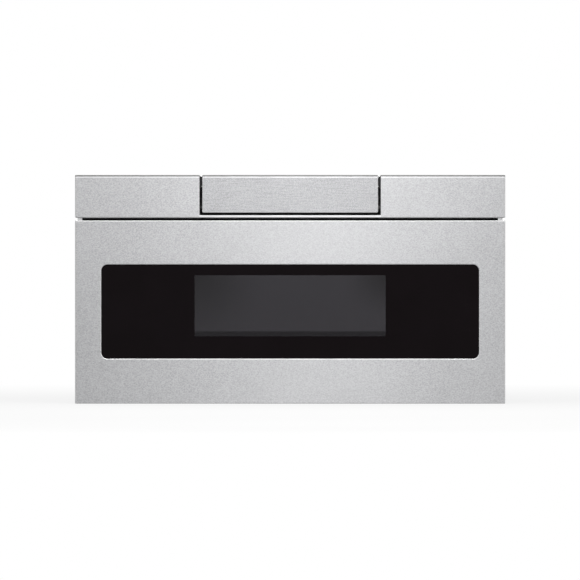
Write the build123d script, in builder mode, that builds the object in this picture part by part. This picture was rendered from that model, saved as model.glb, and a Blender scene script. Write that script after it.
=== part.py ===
from build123d import *

import os
from math import acos, cos, hypot, pi, radians, sin, tan

# A built-in microwave drawer, 30 inches wide, for a cut-out in a kitchen cabinet.
#
# The origin is at the middle of the cut-out's lower front edge: y = 0 is the front of the
# cabinet, z = 0 is the shelf that the case stands on, and the user stands on the -Y side. Sizes
# are in millimetres. A stainless face covers a narrower steel case. The drawer runs on two
# telescopic slides beside the oven cavity, and a cross shaft drives it: a pinion at each end of
# the shaft meshes with a rack on a drawer arm. The keys are on the sloping top of a wedge behind
# the control flap, which tips forward to show them.
#
# The case is built round the oven cavity and the slides, and the face is fitted to the case. That
# makes the case 706 wide, 370 high and 560 deep, and the face 758.8 wide and 403.2 high.

os.makedirs("parts", exist_ok=True)

# ------------------------------------------------------------------ stainless face
face_lap = 3.5              # the face stands out past the front frame on each side
face_rise = 20.2            # how far the face stands above the case
face_drop = 13.0            # how far the face hangs below the shelf
face_sheet = 1.0
face_bend = 1.6             # outer radius of the folded front edges
face_gap = 4.9              # dark line between the fixed strip and the drawer front
fascia_height = 75.2
fascia_lip = 10.0
door_depth = 29.0
door_clearance = 3.5        # from the back of the drawer front to the front frame
door_lip = 10.0

# control flap in the fixed strip
flap_width = 310.4
flap_height = 66.4
flap_corner = 2.5
flap_return = 5.0
flap_side_gap = 3.6
flap_bottom_gap = 4.6
notch_relief = 0.9          # the notch is this much wider near its top
notch_relief_height = 19.0
notch_corner = 3.0
notch_lip = 4.0

# glass in the drawer front
window_side = 46.55         # from the side of the drawer front to the window
window_height = 166.0
window_rise = 79.4          # from the lower edge of the drawer front
window_corner = 11.0
window_return = 1.0         # the sheet is turned in round the window by this much more
glass_lap = 10.0            # glass behind the steel on every side
glass_thickness = 4.0
view_width = 336.8
view_height = 107.6
view_rise = 118.8

# ------------------------------------------------------------------ case
case_side = 42.3            # from the slide supports to the side of the case
rear_bay = 134.6            # behind the oven cavity, for the magnetron, fan and transformer
head_room = 28.8            # from the stirrer motor to the top cover
case_sheet = 1.2
case_bend = 2.0
case_flange = 15.0
flange_relief = 6.0         # the base's end flanges stop this far inside the side flanges
bead_depth = 3.0
bead_width = 16.0
side_bead_length = 380.0
side_bead_y = 270.0
side_bead_low_z = 110.0
side_bead_drop = 85.0       # from the top of the case to the upper bead
cover_bead_length = 300.0
cover_bead_x = 180.0
cover_bead_y = 230.0
vent_length = 40.0
vent_width = 4.0
vent_pitch = 9.0
side_vent_gap = 48.0        # from the oven cavity to the vents in a side panel
side_vent_z = 200.0
frame_sheet = 1.5
frame_lap = 22.9            # the front frame stands out past the case on each side
frame_drop = 8.0
frame_top_gap = 1.4         # from the frame's top edge to the fold of the fixed strip
frame_screw_low = 40.0
frame_screw_drop = 25.0     # from the top of the case to the highest screw
base_screw_x = 220.0
cover_screw_end = 60.0      # from the ends of the case to the cover's screws
gasket_margin = 8.4         # from the ends of the gasket to the front frame's edge
gasket_height = 20.0
gasket_thickness = 2.5
gasket_gap = 0.3            # under the fixed strip
cabinet_hole_edge = 9.4     # from the screws into the cabinet to the front frame's edge
cabinet_hole_spacing_z = 240.0
cabinet_hole_mid_z = 170.0
cabinet_hole_radius = 2.5
screw_radius = 2.0
screw_clearance = 0.15
screw_head_radius = 4.2
screw_head_height = 2.2
screw_length = 7.0

# ------------------------------------------------------------------ oven cavity
cavity_width = 440.0
cavity_height = 180.0
cavity_depth = 422.0
cavity_floor = 72.0
cavity_sheet = 1.0
cavity_corner = 8.0
cavity_flange = 15.0
stirrer_mid_y = 212.0
dome_size = 250.0
dome_height = 30.0
dome_corner = 20.0
lamp_hole_radius = 2.5
lamp_hole_pitch = 9.0
stirrer_cover_thickness = 2.5
stirrer_cover_lap = 10.0
stirrer_radius = 105.0
stirrer_blade_width = 44.0
stirrer_sheet = 1.0
stirrer_blades = 4
stirrer_blade_pitch = 25    # degrees
stirrer_hub_radius = 9.0
stirrer_hub_height = 14.4
stirrer_hub_below = 9.0     # hub under the middle of the blades
stirrer_pin_radius = 4.0
guide_width = 92.0
guide_height = 40.0
guide_sheet = 1.2
guide_front = 62.0          # waveguide in front of the stirrer's axis
guide_rear = 48.0           # waveguide behind the antenna
coupling_radius = 30.0
pin_hole_radius = 7.0
antenna_radius = 9.0
antenna_reach = 26.0
antenna_clearance = 5.0
antenna_tip = 5.0
magnetron_gap = 70.0        # from the cavity's rear to the antenna
magnetron_width = 84.0
magnetron_depth = 66.0
magnetron_plate = 2.0
yoke_height = 62.0
anode_radius = 19.0
fin_count = 8
fin_thickness = 0.8
fin_margin = 5.0            # from the front of the yoke to a fin
filament_box_width = 56.0
filament_box_depth = 48.0
filament_box_height = 28.0
stirrer_motor_radius = 24.0
stirrer_motor_height = 17.0
stirrer_motor_bore = 10.0   # depth of the stirrer's pin in its motor
motor_pin_room = 1.0        # past the end of a pin in its motor
motor_ear_length = 70.0
motor_ear_width = 16.0
motor_ear_thickness = 1.5
lamp_y = 300.0
lamp_drop = 37.0            # from the cavity's top to the lamp
lamp_holder_length = 48.0
lamp_holder_height = 34.0
lamp_holder_depth = 34.0
lamp_holder_corner = 4.0
lamp_holder_wall = 2.5
bulb_radius = 10.0
bulb_length = 19.0
bulb_round = 9.0
bulb_cap_radius = 6.5
bulb_cap_length = 8.0

# ------------------------------------------------------------------ drawer
bin_side_gap = 7.0          # from the bin's side to the cavity's side
bin_rear_gap = 13.7         # from the bin's rear wall to the cavity's rear
bin_height = 112.0
bin_wall = 3.0
bin_clearance = 3.0         # under the bin, above the cavity's floor
bin_corner = 10.0
bin_floor_radius = 2.0
bin_rim = 4.0
bin_rim_height = 5.0
bin_flange = 12.0
tray_gap = 4.0
tray_thickness = 4.0
tray_bevel = 0.8
core_sheet = 1.2
core_edge_gap = 1.0
choke_depth = 20.0
choke_width = 33.0
choke_slot = 12.0
choke_step = 2.0            # the choke's inner wall lies this far outside the mouth
choke_gap = 1.0             # from the choke cover to the front frame
choke_cover_lap = 4.0
choke_cover_thickness = 1.2
choke_tooth = 16.0
choke_tooth_gap = 4.0
choke_tooth_root = 4.0      # plate left between the teeth and the inner wall
view_margin_x = 16.0
view_margin_z = 13.0
inner_window_thickness = 2.0
inner_window_lap = 8.0

# ------------------------------------------------------------------ slides and drive
drawer_travel = 381.0
slide_gap = 56.0            # from the oven cavity to the inner face of a drawer arm
slide_mid_z = 55.0
slide_height = 45.0
slide_width = 12.7
slide_sheet = 1.2
slide_bend = 0.6            # inner radius of the slides' folds
slide_web_gap = 1.3         # between the webs of the outer and the middle members
slide_overlap = 69.0        # slide left in the case when the drawer is fully open
slide_middle_short = 20.0   # the middle members are this much shorter than the outer ones
slide_inner_short = 4.0
slide_inner_reach = 8.0
slide_front_y = 4.0
slide_step = 4.6            # each member is this much smaller than the one round it
ball_play = 0.3
ball_row_width = 3.6
ball_row_short = 70.0       # the outer row of balls leaves this much of the slide free
arm_sheet = 2.0
arm_height = 34.0
arm_run_on = 6.0            # drawer arm past the end of the inner slide
arm_flange = 20.0
arm_screw_edge = 6.0
support_sheet = 2.0
support_flange = 18.0
support_rise = 86.0
rack_module = 2.0
pinion_teeth = 18
pressure_angle = radians(20)
gear_play = 0.24            # backlash of each mesh
rack_width = 9.0
rack_back = 8.0
rack_front_y = 26.0
rack_run_on = 20.0          # rack past the pinion when the drawer is fully open
shaft_radius = 4.0
shaft_y = 48.0
shaft_z = 25.0
shaft_end = 4.0             # shaft past the outside of its bush
bush_play = 0.06
bush_wall = 2.0
bush_flange = 1.6
bush_length = 6.0
pinion_gap = 0.5
drive_module = 1.5
shaft_gear_teeth = 24
motor_gear_teeth = 16
drive_gear_width = 9.0
drive_gear_x = 60.0
motor_pin_radius = 3.0
motor_can_radius = 18.0
motor_can_length = 58.0
gearbox_width = 34.0
gearbox_depth = 52.0
gearbox_height = 48.0
gearbox_corner = 4.0
gearbox_gear_gap = 1.0      # from the gears to the gearbox
gearbox_shaft_gap = 2.0     # from the cross shaft to the gearbox
slot_margin = 1.5           # room round what passes through the front frame

# ------------------------------------------------------------------ interlock
tongue_side = 16.8          # from the case's side flange to the middle of the tongue
tongue_z = 200.0
tongue_width = 8.0
tongue_height = 48.0
tongue_reach = 30.0         # behind the front frame's back
tongue_lead = 5.0
tongue_eye_y = 15.0
tongue_eye_length = 14.0
tongue_eye_height = 20.0
switch_count = 3
switch_pitch = 17.0
switch_width = 11.0
switch_height = 10.0
switch_front_y = 10.0
switch_rear_y = 38.0
switch_pin = 3.7
switch_pin_y = 16.0
switch_pin_length = 4.0
switch_gap = 0.3
bracket_height = 64.0
bracket_depth = 46.0
bracket_foot = 20.0

# ------------------------------------------------------------------ control panel
pivot_setback = 9.0         # behind the face
pivot_rise = 9.0            # above the flap's lower edge
pivot_radius = 3.0
pivot_play = 0.06
panel_slope = radians(40)   # the key glass slopes down to the rear while shut
panel_depth = 46.0
panel_crest = 3.0
panel_heel = 12.0
panel_wall = 2.5
panel_gap = 0.6             # between the wedge and the flap's returns
panel_toe = 18.0            # length of the wedge's underside
panel_cover_thickness = 1.5
key_glass_thickness = 3.0
key_glass_margin = 3.0
key_glass_play = 0.2
sole_margin = 5.0           # from the opening under the wedge to the ends of its cover
panel_tilt = radians(85)
swing_rise = 1.0            # the wedge swings through the front frame up to this above the case
housing_wall = 2.5
housing_floor = 3.0
housing_rear_y = 20.5
housing_front_gap = 0.5     # from the housing to the folded lips of the notch
housing_side_drop = 4.0     # from the top of the case to the housing's sides
housing_flange = 18.0
housing_gap = 1.0           # from the housing to the folds of the fixed strip
damper_module = 1.0
panel_gear_teeth = 24
damper_teeth = 12
damper_angle = radians(40)
damper_gear_width = 3.0
damper_gap = 0.3
damper_radius = 6.5
damper_height = 4.5
damper_plate = 1.2
damper_lid = 0.8
damper_pin_gap = 0.2        # from the end of the pin to the lid
damper_tip_gap = 0.4        # from the pinion's teeth to the hole that they turn in
damper_pin_radius = 2.0
sector_margin = radians(12)

# ------------------------------------------------------------------ electrical parts
fan_mid_x = 205.0
fan_mid_z = 150.0
fan_radius = 54.0
fan_tip_gap = 2.5
fan_shroud_size = 126.0
fan_shroud_depth = 30.0
fan_shroud_corner = 6.0
fan_strut_width = 8.0
fan_strut_depth = 3.0
fan_hub_radius = 16.0
fan_hub_length = 22.0
fan_hub_gap = 2.0           # from the struts to the hub
fan_blades = 7
fan_blade_chord = 26.0
fan_blade_thickness = 1.6
fan_blade_root = 2.0        # blade inside the hub
fan_blade_pitch = 35        # degrees
fan_pin_radius = 2.5
fan_motor_width = 62.0
fan_motor_height = 46.0
fan_motor_depth = 26.0
fan_coil_width = 26.0
fan_coil_height = 38.0
fan_coil_inset = 4.0        # from the side of the laminations to the middle of the coil
fan_coil_margin = 3.0       # from the faces of the motor to the coil
fan_coil_corner = 5.0
gland_x = -262.0
gland_z = 40.0
gland_bore_radius = 4.6
gland_neck_radius = 8.0
gland_flange_radius = 12.0
gland_length = 18.0
gland_flange = 3.0
transformer_x = -140.0
transformer_gap = 78.0      # from the cavity's rear to the middle of the transformer
core_width = 96.0
core_depth = 58.0
core_height = 78.0
core_foot = 2.0
core_foot_lap = 14.0
core_foot_hole_radius = 2.5
core_foot_hole_edge = 6.0   # from the sides of the foot to its holes
core_foot_hole_end = 8.0    # from its front and rear to its holes
core_limb = 16.0
winding_lap = 17.0
winding_corner = 12.0
capacitor_x = -232.0
capacitor_gap = 90.0        # from the cavity's rear to the middle of the capacitor
capacitor_width = 56.0
capacitor_depth = 34.0
capacitor_height = 88.0
clamp_thickness = 1.5
clamp_rise = 30.0
clamp_height = 14.0
terminal_pitch = 22.0
terminal_width = 6.3
terminal_thickness = 0.8
terminal_height = 9.0
board_standoff = 6.0
board_thickness = 1.6
standoff_radius = 3.0
standoff_edge = 6.0         # from the edges of a board to the middle of its standoffs
filter_gap = 63.0           # from the cavity's rear to the middle of the board
filter_mid_z = 92.5
filter_length = 90.0
filter_height = 75.0
filter_coil_y = -20.0       # from the middle of the board
filter_coil_radius = 15.0
filter_coil_bore = 7.0
filter_cap_y = 12.0
filter_cap_length = 14.0
filter_cap_height = 32.0
filter_fuse_y = 29.0
filter_fuse_length = 12.0
filter_fuse_height = 18.0
filter_parts_height = 14.0
power_board_y = 245.0
power_board_z = 195.0
power_board_length = 190.0
power_board_height = 130.0
power_parts_height = 16.0
supply_y = -56.0            # from the middle of the board
supply_z = -30.0
supply_length = 48.0
supply_height = 40.0
relay_count = 4
relay_row_y = 25.0
relay_row_z = -35.0
relay_pitch = 22.0
relay_length = 17.0
relay_height = 22.0
smoothing_row_y = -45.0
smoothing_row_z = 30.0
smoothing_radius = 9.0
smoothing_pitch = 30.0

# ------------------------------------------------------------------ planes and edges that follow
mouth_half = cavity_width / 2
cavity_mid_z = cavity_floor + cavity_height / 2
cavity_top = cavity_floor + cavity_height
dome_bottom = cavity_top + cavity_sheet
dome_top = dome_bottom + dome_height
guide_top = dome_top + guide_height
magnetron_y = cavity_depth + magnetron_gap
transformer_y = cavity_depth + transformer_gap
capacitor_y = cavity_depth + capacitor_gap

arm_inner = mouth_half + slide_gap
arm_outer = arm_inner + arm_sheet
slide_outer_x = arm_outer + slide_width
support_outer_x = slide_outer_x + support_sheet
slide_outer_length = drawer_travel + slide_overlap
slide_middle_length = slide_outer_length - slide_middle_short
slide_inner_length = slide_outer_length - slide_inner_short

case_half = support_outer_x + support_flange + case_side
case_height = guide_top + stirrer_motor_height + head_room + case_sheet
case_depth = cavity_depth + cavity_sheet + rear_bay + 2 * case_sheet
cover_bottom = case_height - case_sheet
panel_out = case_half - case_sheet          # outer face of a side panel
panel_in = panel_out - case_sheet
rear_out = case_depth - case_sheet          # outer face of the rear panel
rear_in = rear_out - case_sheet
flange_inner = panel_out - case_flange

frame_half = case_half + frame_lap
frame_front = -frame_sheet
face_half = frame_half + face_lap
face_width = 2 * face_half
face_bottom = -face_drop
face_top = case_height + face_rise
frame_top = face_top - frame_top_gap
swing_top = case_height + swing_rise
fascia_bottom = face_top - fascia_height
door_top = fascia_bottom - face_gap
door_height = door_top - face_bottom
door_mid_z = (face_bottom + door_top) / 2
door_back = frame_front - door_clearance
door_front = door_back - door_depth
core_back = door_back - face_sheet
flap_bottom = face_top - flap_height
notch_half = flap_width / 2 + flap_side_gap
notch_bottom = flap_bottom - flap_bottom_gap
window_width = face_width - 2 * window_side
window_mid_z = face_bottom + window_rise + window_height / 2
view_mid_z = face_bottom + view_rise + view_height / 2
glass_front = door_front + face_sheet + window_return

pinion_radius = rack_module * pinion_teeth / 2
rack_pitch_z = shaft_z + pinion_radius
tooth_pitch = pi * rack_module
rack_rear_y = shaft_y + drawer_travel + rack_run_on
rack_inner = arm_inner - rack_width
shaft_gear_radius = drive_module * shaft_gear_teeth / 2
motor_gear_radius = drive_module * motor_gear_teeth / 2
motor_pin_y = shaft_y + shaft_gear_radius + motor_gear_radius
tongue_x = flange_inner - tongue_side

pivot_y = door_front + pivot_setback
pivot_z = flap_bottom + pivot_rise
wedge_half = flap_width / 2 - face_sheet - panel_gap
housing_half = notch_half + housing_wall
housing_floor_z = notch_bottom - housing_floor
housing_front_y = door_front + notch_lip + housing_front_gap
damper_reach = damper_module * (panel_gear_teeth + damper_teeth) / 2
damper_y = pivot_y + damper_reach * cos(damper_angle)
damper_z = pivot_z + damper_reach * sin(damper_angle)
gear_x = notch_half - damper_gap - damper_gear_width


# ------------------------------------------------------------------ shared shapes
def front_plane(y):
    """The upright plane at this y. A positive extrusion from it comes towards the user."""
    return Plane.XZ.offset(-y)


def side_plane(x):
    """The upright plane at this x, with y to the right and z up."""
    return Plane.YZ.offset(x)


def level(z):
    return Plane.XY.offset(z)


def patch(x0, x1, y0, y1, mode=Mode.ADD):
    """A rectangle between four limits of the open sketch."""
    with Locations(((x0 + x1) / 2, (y0 + y1) / 2)):
        Rectangle(x1 - x0, y1 - y0, mode=mode)


def rounded_patch(width, height, mid_x, mid_y, corner, mode=Mode.ADD):
    with Locations((mid_x, mid_y)):
        RectangleRounded(width, height, corner, mode=mode)


def discs(radius, *centres, mode=Mode.ADD):
    with Locations(*centres):
        Circle(radius, mode=mode)


def outline(*points, mode=Mode.ADD):
    """A face of straight sides through these points."""
    with BuildLine() as edge:
        Polyline(*points, close=True)
    make_face(edge.edges(), mode=mode)


def folded(points, sheet, bend=case_bend):
    """The section of a sheet folded along these points, which lies to the left of them."""
    with BuildLine() as section:
        FilletPolyline(*points, radius=bend)
        offset(amount=sheet, side=Side.LEFT)
    make_face(section.edges())


def gear_points(module, teeth, centre, phase, steps=3):
    """The outline of a spur gear with involute flanks and one tooth that points along phase."""
    pitch_radius = module * teeth / 2
    base_radius = pitch_radius * cos(pressure_angle)
    tip_radius = pitch_radius + module
    root_radius = pitch_radius - 1.25 * module
    foot_radius = max(base_radius, root_radius)
    half_tooth = (pi * module / 2 - gear_play / 2) / pitch_radius / 2
    half_tooth += tan(pressure_angle) - pressure_angle
    flank = []
    for step in range(steps + 1):
        radius = foot_radius + (tip_radius - foot_radius) * step / steps
        lean = acos(min(1.0, base_radius / radius))
        flank.append((radius, half_tooth - tan(lean) + lean))
    if root_radius < foot_radius:
        flank.insert(0, (root_radius, flank[0][1]))
    points = []
    for tooth in range(teeth):
        middle = phase + 2 * pi * tooth / teeth
        sides = [(r, middle - a) for r, a in flank] + [(r, middle + a) for r, a in reversed(flank)]
        points += [(centre[0] + r * cos(a), centre[1] + r * sin(a)) for r, a in sides]
    return points


def rack_points(first_y, last_y):
    """The section of a rack with its teeth down, in mesh with a pinion tooth at the shaft."""
    half_tooth = (tooth_pitch / 2 - gear_play / 2) / 2
    lean = tan(pressure_angle)
    tip_z = rack_pitch_z - rack_module
    root_z = rack_pitch_z + 1.25 * rack_module
    top_z = root_z + rack_back
    points = [(last_y, top_z), (first_y, top_z), (first_y, root_z)]
    tooth = -int((shaft_y - first_y) / tooth_pitch)
    middle = shaft_y + (tooth + 0.5) * tooth_pitch
    while middle + tooth_pitch / 2 < last_y:
        tip = half_tooth - rack_module * lean
        root = half_tooth + 1.25 * rack_module * lean
        points += [(middle - root, root_z), (middle - tip, tip_z)]
        points += [(middle + tip, tip_z), (middle + root, root_z)]
        middle += tooth_pitch
    return points + [(last_y, root_z)]


def vents(face, centre, columns, rows):
    """A block of vent slots punched through a sheet, stacked in columns."""
    with BuildSketch(face) as slots:
        with Locations(centre):
            with GridLocations(vent_length + 2 * vent_width, vent_pitch, columns, rows):
                Rectangle(vent_length, vent_width)
    extrude(slots.sketch, amount=2 * case_sheet, both=True, mode=Mode.SUBTRACT)


def bead(outer_face, centre, length, turned=0):
    """A stiffening bead pressed inwards: a hollow on the outside and a ridge on the inside."""
    with BuildSketch(outer_face.offset(-case_sheet)) as ridge:
        with Locations(centre):
            SlotOverall(length, bead_width, rotation=turned)
    extrude(ridge.sketch, amount=-bead_depth)
    with BuildSketch(outer_face) as hollow:
        with Locations(centre):
            SlotOverall(length - 2 * case_sheet, bead_width - 2 * case_sheet, rotation=turned)
    extrude(hollow.sketch, amount=-bead_depth, mode=Mode.SUBTRACT)


def screw_holes(face, centres):
    """Clearance holes through the sheets on both sides of a face."""
    with BuildSketch(face) as holes:
        discs(screw_radius + screw_clearance, *centres)
    extrude(holes.sketch, amount=2 * case_sheet, both=True, mode=Mode.SUBTRACT)


def screws(face, centres, outward=1):
    """Pan-head screws seated on a face. outward is -1 where the face's normal points inwards."""
    with BuildSketch(face) as heads:
        discs(screw_head_radius, *centres)
    extrude(heads.sketch, amount=outward * screw_head_height)
    with BuildSketch(face) as shanks:
        discs(screw_radius, *centres)
    extrude(shanks.sketch, amount=-outward * screw_length)


def write(piece, name):
    piece.part.label = name
    export_step(piece.part, f"parts/{name}.step")


# ------------------------------------------------------------------ case
frame_screw_x = panel_out - case_flange / 2
frame_screw_high = case_height - frame_screw_drop
frame_screw_heights = (frame_screw_low, (frame_screw_low + frame_screw_high) / 2, frame_screw_high)
frame_screws = [(side * frame_screw_x, z) for side in (-1, 1) for z in frame_screw_heights]
base_screws = [(x, case_flange / 2 + case_sheet) for x in (-base_screw_x, 0, base_screw_x)]
cover_screw_places = (cover_screw_end, case_depth / 2, case_depth - cover_screw_end)
cover_screws = [(y, case_height - case_flange / 2) for y in cover_screw_places]

with BuildPart() as base_plate:
    with BuildSketch(front_plane(case_bend)):
        folded([(-panel_in, case_flange), (-panel_in, 0), (panel_in, 0), (panel_in, case_flange)],
               case_sheet)
    extrude(amount=-(rear_in - 2 * case_bend))
    end_flange_half = flange_inner - flange_relief
    with BuildSketch(level(0)):
        patch(-end_flange_half, end_flange_half, 0, rear_in)
    extrude(amount=case_sheet)
    with BuildSketch(level(0)):
        patch(-end_flange_half, end_flange_half, 0, case_sheet)
        patch(-end_flange_half, end_flange_half, rear_in - case_sheet, rear_in)
    extrude(amount=case_flange)
    screw_holes(front_plane(0), base_screws)
    screw_holes(front_plane(rear_in), base_screws)
write(base_plate, "base_plate")

with BuildPart() as right_side_panel:
    with BuildSketch(level(0)):
        folded([(flange_inner, 0), (panel_out, 0), (panel_out, rear_in), (flange_inner, rear_in)],
               case_sheet)
    extrude(amount=cover_bottom)
    with BuildSketch(level(cover_bottom)):
        patch(flange_inner, panel_in, case_bend, rear_in - case_bend)
    extrude(amount=-case_sheet)
    top_edge = right_side_panel.edges().filter_by(Axis.Y).sort_by(lambda e: e.center().X + e.center().Z)
    fillet(top_edge[-1], radius=case_bend / 2)
    for bead_z in (side_bead_low_z, case_height - side_bead_drop):
        bead(side_plane(panel_out), (side_bead_y, bead_z), side_bead_length)
    vents(side_plane(panel_out), (cavity_depth + side_vent_gap, side_vent_z), 1, 7)
    screw_holes(side_plane(panel_out), cover_screws)
    screw_holes(front_plane(0), frame_screws[3:])
    screw_holes(front_plane(rear_in), frame_screws[3:])
write(right_side_panel, "right_side_panel")

with BuildPart() as left_side_panel:
    add(mirror(right_side_panel.part, about=Plane.YZ))
write(left_side_panel, "left_side_panel")

with BuildPart() as rear_panel:
    with BuildSketch(front_plane(rear_out)):
        rounded_patch(2 * panel_out, cover_bottom, 0, cover_bottom / 2, case_bend)
        discs(gland_neck_radius, (gland_x, gland_z), mode=Mode.SUBTRACT)
        discs(screw_radius + screw_clearance, *frame_screws, *base_screws, mode=Mode.SUBTRACT)
    extrude(amount=case_sheet)
    vents(front_plane(rear_in), (fan_mid_x, fan_mid_z), 2, 11)
    vents(front_plane(rear_in), (transformer_x, fan_mid_z), 3, 7)
write(rear_panel, "rear_panel")

with BuildPart() as top_cover:
    side_fold = case_height - case_flange
    with BuildSketch(front_plane(0)):
        folded([(case_half, side_fold), (case_half, case_height),
                (-case_half, case_height), (-case_half, side_fold)], case_sheet)
    extrude(amount=-rear_out)
    with BuildSketch(front_plane(case_depth)):
        patch(-case_half, case_half, side_fold, case_height)
    extrude(amount=case_sheet)
    for bead_x in (-cover_bead_x, cover_bead_x):
        bead(level(case_height), (bead_x, cover_bead_y), cover_bead_length, 90)
    vents(level(case_height), (transformer_x, transformer_y), 3, 5)
    screw_holes(side_plane(panel_out), cover_screws)
    screw_holes(side_plane(-panel_out), cover_screws)
write(top_cover, "top_cover")

slot_low_x = rack_inner - slot_margin
slot_high_x = slide_outer_x - slide_sheet
slot_half = slide_height / 2 - slide_step + slot_margin
cabinet_hole_x = frame_half - cabinet_hole_edge
cabinet_holes = [(side * cabinet_hole_x, cabinet_hole_mid_z + end * cabinet_hole_spacing_z / 2)
                 for side in (-1, 1) for end in (-1, 1)]

with BuildPart() as front_frame:
    with BuildSketch(front_plane(0)):
        patch(-frame_half, frame_half, -frame_drop, frame_top)
        rounded_patch(cavity_width, cavity_height, 0, cavity_mid_z, cavity_corner, Mode.SUBTRACT)
        for side in (-1, 1):
            near, far = sorted((side * slot_low_x, side * slot_high_x))
            patch(near, far, slide_mid_z - slot_half, slide_mid_z + slot_half, Mode.SUBTRACT)
        patch(-housing_half - slot_margin, housing_half + slot_margin,
              housing_floor_z, swing_top, Mode.SUBTRACT)
        with Locations((tongue_x, tongue_z)):
            Rectangle(tongue_width + 2 * slot_margin, tongue_height + 2 * slot_margin,
                      mode=Mode.SUBTRACT)
        discs(cabinet_hole_radius, *cabinet_holes, mode=Mode.SUBTRACT)
        discs(screw_radius + screw_clearance, *frame_screws, *base_screws, mode=Mode.SUBTRACT)
    extrude(amount=frame_sheet)
write(front_frame, "front_frame")

with BuildPart() as gap_gasket:
    gasket_top = fascia_bottom - gasket_gap
    gasket_half = frame_half - gasket_margin
    with BuildSketch(front_plane(frame_front)):
        patch(-gasket_half, gasket_half, gasket_top - gasket_height, gasket_top)
    extrude(amount=gasket_thickness)
    fillet(gap_gasket.faces().sort_by(Axis.Y)[0].edges(), radius=gasket_thickness / 3)
write(gap_gasket, "gap_gasket")

with BuildPart() as cord_gland:
    with BuildSketch(front_plane(rear_out)):
        discs(gland_neck_radius, (gland_x, gland_z))
    extrude(amount=gland_length)
    with BuildSketch(front_plane(rear_in)):
        discs(gland_flange_radius, (gland_x, gland_z))
    extrude(amount=gland_flange)
    with BuildSketch(front_plane(rear_out)):
        discs(gland_bore_radius, (gland_x, gland_z))
    extrude(amount=gland_length, mode=Mode.SUBTRACT)
write(cord_gland, "cord_gland")

with BuildPart() as case_screws:
    screws(front_plane(frame_front), frame_screws + base_screws)
    screws(front_plane(rear_out), frame_screws + base_screws, -1)
    screws(side_plane(case_half), cover_screws)
    screws(side_plane(-case_half), cover_screws, -1)
write(case_screws, "case_screws")

# ------------------------------------------------------------------ oven cavity and waveguide
lamp_z = cavity_top - lamp_drop

with BuildPart() as oven_cavity:
    with BuildSketch(front_plane(0)):
        rounded_patch(cavity_width + 2 * cavity_sheet, cavity_height + 2 * cavity_sheet,
                      0, cavity_mid_z, cavity_corner + cavity_sheet)
    extrude(amount=-(cavity_depth + cavity_sheet))
    with BuildSketch(level(cavity_top)):
        rounded_patch(dome_size, dome_size, 0, stirrer_mid_y, dome_corner)
    extrude(amount=dome_top - cavity_top)
    with BuildSketch(front_plane(0)):
        rounded_patch(cavity_width + 2 * cavity_flange, cavity_height + 2 * cavity_flange,
                      0, cavity_mid_z, cavity_corner)
    extrude(amount=-cavity_sheet)
    with BuildSketch(front_plane(0)):
        rounded_patch(cavity_width, cavity_height, 0, cavity_mid_z, cavity_corner)
    extrude(amount=-cavity_depth, mode=Mode.SUBTRACT)
    with BuildSketch(level(cavity_mid_z)):
        rounded_patch(dome_size - 2 * cavity_sheet, dome_size - 2 * cavity_sheet,
                      0, stirrer_mid_y, dome_corner - cavity_sheet)
    extrude(amount=dome_top - cavity_sheet - cavity_mid_z, mode=Mode.SUBTRACT)
    with BuildSketch(level(dome_top)):
        discs(coupling_radius, (0, stirrer_mid_y))
    extrude(amount=-2 * cavity_sheet, mode=Mode.SUBTRACT)
    with BuildSketch(side_plane(-mouth_half)):
        with Locations((lamp_y, lamp_z)):
            with GridLocations(lamp_hole_pitch, lamp_hole_pitch, 3, 2):
                Circle(lamp_hole_radius)
    extrude(amount=-2 * cavity_sheet, mode=Mode.SUBTRACT)
write(oven_cavity, "oven_cavity")

with BuildPart() as waveguide:
    guide_half = guide_width / 2
    guide_front_y = stirrer_mid_y - guide_front
    guide_rear_y = magnetron_y + guide_rear
    with BuildSketch(level(dome_top)):
        patch(-guide_half, guide_half, guide_front_y, guide_rear_y)
    extrude(amount=guide_height)
    with BuildSketch(level(dome_top + guide_sheet)):
        patch(-guide_half + guide_sheet, guide_half - guide_sheet,
              guide_front_y + guide_sheet, guide_rear_y - guide_sheet)
    extrude(amount=guide_height - 2 * guide_sheet, mode=Mode.SUBTRACT)
    with BuildSketch(level(dome_top)):
        discs(coupling_radius, (0, stirrer_mid_y))
        discs(antenna_radius + antenna_clearance, (0, magnetron_y))
    extrude(amount=guide_sheet, mode=Mode.SUBTRACT)
    with BuildSketch(level(guide_top)):
        discs(pin_hole_radius, (0, stirrer_mid_y))
    extrude(amount=-guide_sheet, mode=Mode.SUBTRACT)
write(waveguide, "waveguide")

with BuildPart() as stirrer_cover:
    cover_size = dome_size + 2 * stirrer_cover_lap
    with BuildSketch(level(cavity_top)):
        rounded_patch(cover_size, cover_size, 0, stirrer_mid_y, dome_corner)
    extrude(amount=-stirrer_cover_thickness)
write(stirrer_cover, "stirrer_cover")

stirrer_mid_z = dome_bottom + dome_height / 2

with BuildPart() as stirrer:
    with BuildSketch(level(stirrer_mid_z - stirrer_hub_below)):
        discs(stirrer_hub_radius, (0, stirrer_mid_y))
    extrude(amount=stirrer_hub_height)
    with BuildSketch(level(stirrer_mid_z)):
        discs(stirrer_pin_radius, (0, stirrer_mid_y))
    extrude(amount=guide_top + stirrer_motor_bore - stirrer_mid_z)
    with Locations((0, stirrer_mid_y, stirrer_mid_z)):
        with PolarLocations(stirrer_radius / 2, stirrer_blades):
            Box(stirrer_radius, stirrer_blade_width, stirrer_sheet,
                rotation=(stirrer_blade_pitch, 0, 0))
write(stirrer, "stirrer")

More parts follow.
